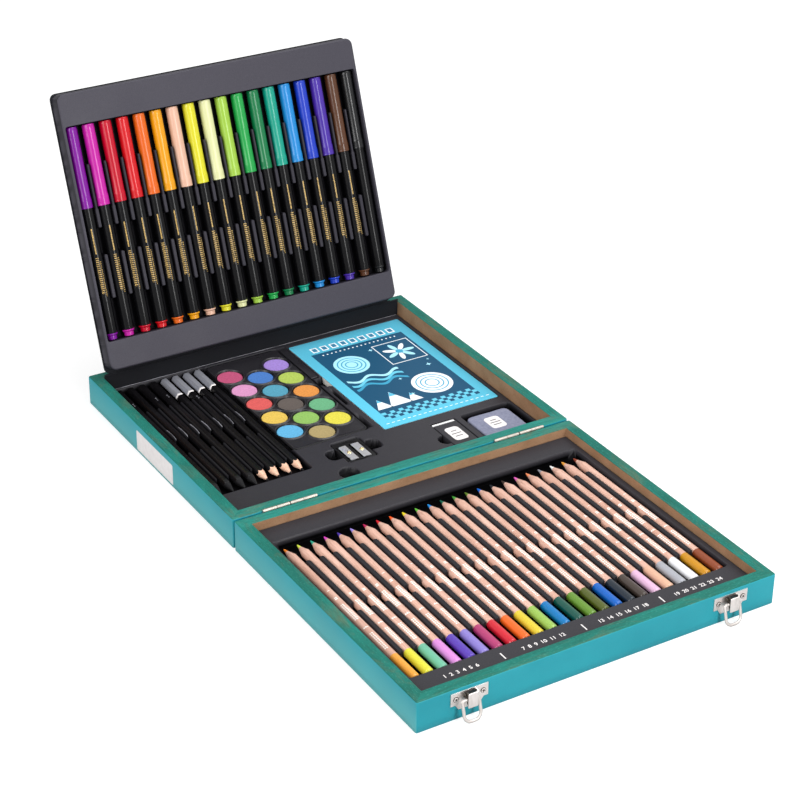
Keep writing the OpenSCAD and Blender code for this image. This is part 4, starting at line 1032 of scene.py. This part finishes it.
def sketch_pad():
    """Stacked pages under a card cover. The cover's print lies in three thin layers
    on it: a dark panel on a light border, shapes on the panel, and lines on those.
    Its outlines count from the pad's middle."""
    pages, cover, prints = Skin(), Skin(), Skin()
    middle = PAD[:2]
    block(pages, middle, 104.6, 154.6, 1.3, BASE_TOP - 5.98, BASE_TOP - 0.62, 0.15, 1)
    block(cover, middle, 105, 155, 1.5, BASE_TOP - 0.6, BASE_TOP - 0.02, 0.2, 2, tint=tone("#59B9D5"))
    sky, pale, deep, white, blue = map(tone, ("#67C2DC", "#A9E2F2", "#1B4D6C", "#EEF3F6", "#3F9CBF"))
    low, *levels = BASE_TOP + np.array([-0.05, 0.03, 0.07, 0.11])

    def lay(outline, tint, layer=1):
        prism(prints, np.add(outline, middle), 2, (low, levels[layer]), tint)

    def frame_with(inner, outer, tint, layer=1):
        band_between(prints, np.add(inner, middle), np.add(outer, middle), low, levels[layer], tint)

    lay(rect(0, -5, 86, 122), deep, 0)
    for i in range(9):
        lay(rect(i * 9 - 36, 62.5, 6.2, 7.5), white)
        lay(rect(i * 9 - 36, 62.5, 4.0, 5.3), tone("#3B7C9C"), 2)
    for i in range(18):
        lay(disc(i * 4 - 34, 51.5, 0.8, 10), white)
    for i in range(11):
        for j in range(3):
            lay(rect(i * 7.8 - 41 + (j % 2) * 3.9, j * 3.6 - 64.2, 3.9, 3.6), sky)
    for i in range(20):
        lay(rect(i * 4.84 - 46, -71.5, 2.6, 0.7), white, 0)
    for x, y, r, tint in ((-22, 26, 15, pale), (19, -32, 17, white)):
        lay(disc(x, y, r), tint)
        for share in (0.3, 0.52, 0.74):
            frame_with(disc(x, y, r * share), disc(x, y, r * share + 1), blue, 2)
    t = np.linspace(-40, 8, 40)
    for k, (y, shade) in enumerate(((2, pale), (-4, sky), (-10, blue))):
        crest = np.column_stack([t, y + 3 * np.sin(t / 4 + k)])
        lay(np.vstack([crest, crest[::-1] - (0, 3.2)]), shade)
    for x, h in ((-35, 15), (-20, 22), (-6, 13)):
        lay([(x - h * 0.45, -50), (x + h * 0.45, -50), (x, h - 50)], white)
        lay([(x - h * 0.14, h * 0.68 - 50), (x + h * 0.14, h * 0.68 - 50), (x, h * 0.98 - 50)], tone("#5AB5D4"), 2)
    for k in range(7):
        a = k * pi / 3.5
        lay(disc(24 + 8 * cos(a), 27 + 8 * sin(a), 6, 20, 0.36, a), white if k % 2 else pale)
    lay(disc(24, 27, 3.2, 24), blue, 2)
    frame_with(rect(24, 27, 32, 34), rect(24, 27, 33.6, 35.6), white)
    for x, y, s in ((4, 40, 2.2), (0, -14, 1.8), (33, -4, 2.6), (-4, -40, 2.0), (37, 4, 1.3)):
        star = disc(0, 0, s, 8) * np.where(np.arange(8) % 2, 0.4, 1)[:, None]
        lay(star + (x, y), pale)
    pages.piece("pad_leaves", "base", PAGES, "pad_pages", "paper")
    cover.piece("pad_front", "base", INK, "pad_cover", "pad_print")
    prints.piece("pad_print", "base", INK, "", "pad_print")


sketch_pad()


# ---- sharpener and erasers ----
def softened(name, node, body, finish, width, dark=None):
    """The CAD node's own shape with its edges eased by a bevel. Faces whose centre
    (in millimetres) passes the test dark take the darker nickel, as painted shade."""
    work = bmesh.new()
    work.from_mesh(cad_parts[node].data)
    bmesh.ops.remove_doubles(work, verts=work.verts, dist=1e-6)
    bmesh.ops.dissolve_limit(work, angle_limit=radians(2), verts=work.verts, edges=work.edges)
    mesh = bpy.data.meshes.new(name)
    work.to_mesh(mesh)
    work.free()
    made = place_piece(name, mesh, body, (finish, SHADED_NICKEL), node, 40)
    for face in mesh.polygons:
        face.material_index = int(dark is not None and dark(face.center * 1000))
    ease = made.modifiers.new("eased", "BEVEL")
    ease.width, ease.segments, ease.limit_method = width / 1000, 3, "ANGLE"
    ease.angle_limit = radians(35)
    ease.harden_normals = True


def sharpener():
    """Housing with bowed, ribbed sides round its softened block, two ground blades
    and pan-headed screws."""
    softened("sharpener_housing", "sharpener_body", "base", MOULDED, 0.5)
    cx, cy = SHARPENER
    rails, blades, screws = Skin(), Skin(), Skin()
    y = np.linspace(-13.5, 13.5, 28)
    for side in (-1, 1):
        for level in (7.4, 9.0, 10.6):
            bow = 11.9 - 1.6 * (y / 13.5) ** 2
            tube(rails, np.column_stack([cx + side * bow, cy + y, np.full(28, level)]), 0.45, 0.5)
    band_between(rails, disc(cx, cy, 10.9, 64, 1.2), disc(cx, cy, 11.7, 64, 1.19), 11.4, 11.95)
    y0, z = cy - 2.2, BASE_TOP - 0.9
    ground = np.array([(-3.4, 0.08), (-3.4, 0.22), (-2.1, 0.5), (2.95, 0.5), (3.1, 0.4), (3.1, 0)])
    for x in (cx - 5.5, cx + 5.5):
        prism(blades, ground + (x, z), 1, np.linspace(y0 - 10, y0 + 11, 8))
        screws.grid(*screw_head(x + 0.6, y0 + 0.5, BASE_TOP - 0.42, 1.7, 0.8))
    rails.piece("sharpener_rails", "base", MOULDED, "", "sharpener_black")
    blades.piece("sharpener_edges", "base", STEEL, "sharpener_blades", "blade_steel", crease=15)
    screws.piece("sharpener_pins", "base", BRASS, "sharpener_screws", "brass")


def screw_head(x, y, z, r, h):
    """A pan head with a cross pressed into it, its height a function of the polar
    grid: a dome that falls to the rim, less a cross 0.36 r wide in the middle."""
    rings = r * np.array([0.001, 0.12, 0.2, 0.24, 0.34, 0.45, 0.55, 0.62, 0.72, 0.85, 0.94, 1.0, 1.0, 0.001])
    turn = np.linspace(0, 2 * pi, 49)
    dx, dy = rings[:, None] * np.cos(turn), rings[:, None] * np.sin(turn)
    dome = h * np.sqrt(np.clip(1 - (rings[:, None] / r) ** 2 * 0.8, 0, 1)) + 0 * dx
    arm = np.minimum(np.abs(dx), np.abs(dy))
    cross = soft_step((0.2 * r - arm) / (0.1 * r)) * soft_step((0.62 * r - np.hypot(dx, dy)) / (0.12 * r))
    dome -= 0.5 * h * cross
    dome[-2:] = 0
    p = np.stack([x + dx, y + dy, z + dome], -1)
    return p, p[..., :2] / 1000


sharpener()


def erasers():
    """A kneaded eraser that has been handled, a vinyl block and the block's card sleeve."""
    lump, vinyl, sleeve, stickers, rules = (Skin() for _ in range(5))
    sections = pillow(38, 40, 5.0, BASE_TOP - 7.5, BASE_TOP, 1.6, 5)
    side = np.linspace(-12, 12, 9)
    p, uv = stack(sections, KNEADED, xs=side, ys=side)
    lump.grid(p, uv)
    lump.cap(p[0, :-1])
    rings = np.linspace(1, 0.0, 14)[:, None, None]
    top = np.array([*KNEADED, BASE_TOP]) + (p[-1] - (*KNEADED, BASE_TOP)) * rings
    lump.grid(top, top[..., :2] / 1000)

    def knead(q):
        """Push the skin in and out by a sum of slow waves, at most 0.45 mm."""
        off = q[:, :2] - KNEADED
        x, y = off[:, 0] / 19, off[:, 1] / 20
        wave = 0.5 * np.sin(2.1 * x + 1.3 * y + 0.6) + 0.3 * np.sin(3.9 * y - 1.7 * x) + 0.2 * np.sin(6.3 * x + 0.4)
        lift = np.where(q[:, 2] > BASE_TOP - 4, -0.3 - 0.22 * wave, 0)
        lean = np.where(np.hypot(x, y) > 0.8, 0.012 * np.abs(wave), 0)
        return q + np.column_stack([-lean[:, None] * off, lift])

    lump.piece("kneaded_lump", "base", PUTTY, "kneaded_eraser", "kneaded_grey", move=knead)
    x, y = BLOCK
    block(vinyl, BLOCK, 20, 45, 0.8, BASE_TOP - 7.5, BASE_TOP - 0.5, 0.35, 3)
    vinyl.piece("vinyl_block", "base", RUBBER, "block_eraser", "eraser_white")
    depth, width, start, end = 8, 21, y - 22.5, y + 19.2
    outer, inner = (ring(width - 2 * inset, depth - 2 * inset, r, xs=(0,), ys=(0,), n=4) + (x, BASE_TOP - depth / 2)
                    for inset, r in ((0.0, 0.7), (0.45, 0.4)))
    order = [(outer, start), (outer, end), (inner, end), (inner, start), (outer, start)]
    sleeve.grid(np.stack([np.insert(loop, 1, at, axis=1) for loop, at in order]))
    sleeve.piece("card_sleeve", "base", CARD, "block_sleeve", "sleeve_card")
    for cx, cy, w, d, low, high in ((x, y + 2, 12, 20, 0.01, 0.1),
                                    (KNEADED[0] - 2, KNEADED[1] + 3, 13, 17, 0.4, 0.12)):
        z = BASE_TOP + high
        block(stickers, (cx, cy), w, d, 3, BASE_TOP - low, z, 0.05, 1)
        for k, share in enumerate((0.55, 0.7, 0.4)):
            prism(rules, rect(cx, cy + (k - 1) * d / 5, w * share, 0.9), 2, (z - 0.02, z + 0.03))
    stickers.piece("eraser_stickers", "base", STICKER, "", "label_white")
    rules.piece("sticker_rules", "base", CARD, "", "sleeve_card")


erasers()

# ---- latches and hinges ----
LATCH_X, BAIL_OUT, BAIL_Z = 105.7, 3.9, 15.9
SIDES = {-1: "left", 1: "right"}
for side, part in SIDES.items():
    # Painted shade: faces more than 1 mm out in front of the lid and left of the latch's middle take the darker
    # nickel.
    softened(f"latch_plate_{part}_soft", f"latch_plate_{part}", "lid", NICKEL, 0.22,
             lambda c, side=side: c.y < LID_FRONT - 1.0 and c.x < side * LATCH_X)
    softened(f"strike_{part}_soft", f"strike_{part}", "base", NICKEL, 0.2)

def bail(side):
    """A flattened wire bow swept along its middle line: in through the cheek, down a
    leg, round a bend, and across. It hangs tilted out by the angle of the joint's
    rest, and has slid 1.2 mm to the left in its bores."""
    leg, length, bend, slide, tilt = 6.3, 15.1, 4.9, 1.2, radians(15.5)
    corner = [(leg - bend + bend * cos(a), bend - length - bend * sin(a)) for a in np.linspace(0, pi / 2, 9)]
    upper = [(leg - 2.4, 0), (leg - 1.6, 0), (leg - 0.7, -0.15), (leg - 0.2, -0.6), (leg, -1.4), (leg, -4), (leg, -7)]
    half = np.array(upper + corner + [(1.2, -length)])
    u, v = np.vstack([half, (half * (-1, 1))[::-1]]).T
    u[-1] += slide
    path = np.column_stack([side * LATCH_X - slide + u, LID_FRONT - BAIL_OUT + v * sin(tilt), BAIL_Z + v * cos(tilt)])
    skin = Skin()
    tube(skin, path, 1.18, 0.82, (0, -cos(tilt), sin(tilt)), 16)
    word = SIDES[side]
    skin.piece(f"bail_wire_{word}", f"latch_bail_{word}", WIRE, f"latch_bail_{word}", "nickel")


def lever(side):
    """A pressed lever, drawn as (out, height, across) and then set on the lid's front:
    a face with eased edges, a cheek on each side in the darker nickel as painted shade
    (all of the left one, the back part of the right one), and a black block between
    them that paints the shade in the lever's hollow."""
    skin = Skin()
    p, uv = stack(pillow(7.8, 11.3, 0.9, 0, 0.8, 0.35, 3))
    skin.rod(p[..., [2, 1, 0]] + (5.0, 15.55, 0), uv)
    front = [(5.3, 21.0), (4.0, 21.1), (4.0, 13.3), (5.3, 11.2)]
    back = [(4.1, 21.1), (3.0, 21.2), (1.6, 20.2), (1.0, 19.0), (1.5, 17.7), (2.1, 16.4), (2.2, 15.0), (4.1, 13.2)]
    # Painted shade: the left cheek and both back parts take the darker nickel.
    for c, front_slot in ((-3.9, 1), (3.1, 0)):
        prism(skin, front, 2, (c, c + 0.8), slot=front_slot)
        prism(skin, back, 2, (c + 0.04, c + 0.76), slot=1)
    # A black block that paints the shade inside the lever.
    prism(skin, [(5.1, 20.8), (2.4, 20.8), (2.4, 13.6), (5.1, 13.0)], 2, (-3.2, 3.2), slot=2)
    word = SIDES[side]
    skin.piece(f"lever_{word}", f"latch_lever_{word}", (NICKEL, SHADED_NICKEL, MOULDED), f"latch_lever_{word}", "nickel",
               move=lambda q: np.column_stack([side * LATCH_X + q[:, 2], LID_FRONT - q[:, 0], q[:, 1]]))


for side in SIDES:
    bail(side)
    lever(side)


def face_screws(name, body, node, across, height, wall_y, way):
    """Pan heads on an upright face, each turned by its own angle. The outer rim of each head and a cross through it
    are in the darker nickel, painted shade round the head and in its slots.
    """
    skin = Skin()
    z, seat = height, 0.79
    for x in [side * LATCH_X + off for side in SIDES for off in (-across, across)]:
        p, uv = screw_head(0, 0, 0, 1.95, 0.7)
        a = random.uniform(0, pi)
        turned = np.array([(cos(a), sin(a)), (-sin(a), cos(a))])
        u, v = np.moveaxis(p[..., :2] @ turned, -1, 0)
        # Painted shade: the outer rows of each head and the cross below take the darker nickel.
        rim = np.arange(len(p) - 1) >= 9
        skin.grid(np.stack([x + u, wall_y + way * (seat + p[..., 2]), z + v], -1), uv, rim.astype(int))
        for w, h in ((2.2, 0.4), (0.4, 2.2)):
            prism(skin, rect(0, 0, w, h) @ turned + (x, z), 1, wall_y + way * (seat + np.array([0.3, 0.74])), slot=1)
    skin.piece(name, body, (NICKEL, SHADED_NICKEL), node, "nickel")


face_screws("latch_fixings", "lid", "latch_screws", 10.35, 16.5, LID_FRONT, -1)
face_screws("strike_fixings", "base", "strike_screws", 8.2, 17.3, HALF_D / 2, 1)


# ---- numbers on the lid's front strip ----
def strip_numbers():
    """Plain numbers, one for each pencil, in four groups with short rules between."""
    skin = Skin()
    y, level = LID_Y - 101.0, LID_TOP
    for first, x in ((1, -97.2), (7, -32.5), (13, 32.5), (19, 96)):
        curve = bpy.data.curves.new("numbers", "FONT")
        curve.body, curve.size = "  ".join(str(first + i) for i in range(6)), 4.7
        curve.extrude, curve.offset = 0.03, 0.07
        curve.align_x = curve.align_y = "CENTER"
        holder = add_object("numbers", curve)
        bpy.context.view_layer.update()
        flat = bpy.data.meshes.new_from_object(holder.evaluated_get(bpy.context.evaluated_depsgraph_get()))
        bpy.data.objects.remove(holder)
        start = skin.add(np.array([v.co for v in flat.vertices]) + (x, y, level + 0.03), None, (1, 1, 1))
        skin.faces.extend([[start + i for i in face.vertices] for face in flat.polygons])
        skin.slots.extend([0] * len(flat.polygons))
    for x in (-64.8, 0.0, 64.8):
        prism(skin, rect(x, y, 0.9, 7), 2, (level - 0.02, level + 0.05))
    skin.piece("strip_numbers", "lid", STICKER, "", "label_white")


strip_numbers()


def knuckle_splits():
    """Dark discs that paint the shade in the gaps between the knuckles of each hinge."""
    skin = Skin()
    for x in (HINGE_X, -HINGE_X):
        for off, half in ((-HINGE_L / 4, 0.15), (0, 0.5), (HINGE_L / 4, 0.15)):
            p, uv = revolve([(-half, 0.01), (-half, 1.4), (half, 1.4), (half, 0.01)], 24)
            skin.grid(p + (x + off, HINGE_Y, HALF_H), uv)
    skin.piece("knuckle_splits", "base", SHADED_NICKEL, "", "nickel")


knuckle_splits()

# CAD nodes that keep their shape
for node in ("base_leaf_left", "base_leaf_right", "lid_leaf_left", "lid_leaf_right", "hinge_pin_left",
             "hinge_pin_right", "base_leaf_screws", "lid_leaf_screws", "latch_pin_left", "latch_pin_right"):
    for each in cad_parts[node].material_slots:
        # The latch pins take the darker nickel as painted shade.
        each.material = SHADED_NICKEL if node.startswith("latch") else HINGE


# ---- floor and light ----
def studio():
    """A plain white floor that keeps the shadow, a white surround, and soft lamps."""
    floor = bpy.data.meshes.new("floor")
    floor.from_pydata([(x, y, 0) for x, y in rect(0, 0, 12, 12)], [], [(0, 1, 2, 3)])
    n = Finish("floor_white", 0.9, 0.05, Base_Color="#BFBFBF", Emission_Color="#FFFFFF")
    floor.materials.append(n.feed(Emission_Strength=n.times(n.node("LightPath").outputs["Is Camera Ray"], 0.6)))
    add_object("floor", floor)
    world = bpy.data.worlds.new("surround")
    bpy.context.scene.world = world
    world.use_nodes = True
    n = Nodes(world.node_tree)
    lit = n.tree.nodes["Background"]
    n.join(lit.inputs["Strength"], 0.5)
    n.join(lit.inputs["Color"], "#FFFFFF")
    shown = n.node("Background", {"Strength": 1.0})
    ray = n.node("LightPath").outputs
    direct = n.most(ray["Is Camera Ray"], ray["Is Glossy Ray"], ray["Is Transmission Ray"])
    pick = n.node("MixShader", {0: direct, 1: lit.outputs[0], 2: shown.outputs[0]})
    n.join(n.tree.nodes["World Output"].inputs[0], pick.outputs[0])
    for name, width, height, power, place, aim in (
            ("front_strip", 0.3, 0.8, 11, (0.2, -1.46, 0.58), (0, 0.17, 0.14)),
            ("key", 1.5, 1.5, 22, (0.6, -0.3, 1.55), (0, -0.1, 0)),
            ("left_fill", 1.0, 1.0, 18, (-1.4, -0.5, 0.9), (0, -0.1, 0.05))):
        lamp = bpy.data.lights.new(name, "AREA")
        lamp.shape, lamp.size, lamp.size_y, lamp.energy = "RECTANGLE", width, height, power
        holder = add_object(name, lamp)
        holder.location = place
        holder.rotation_euler = (Vector(aim) - Vector(place)).to_track_quat("-Z", "Y").to_euler()

studio()
bpy.context.scene.view_settings.view_transform = "Standard"
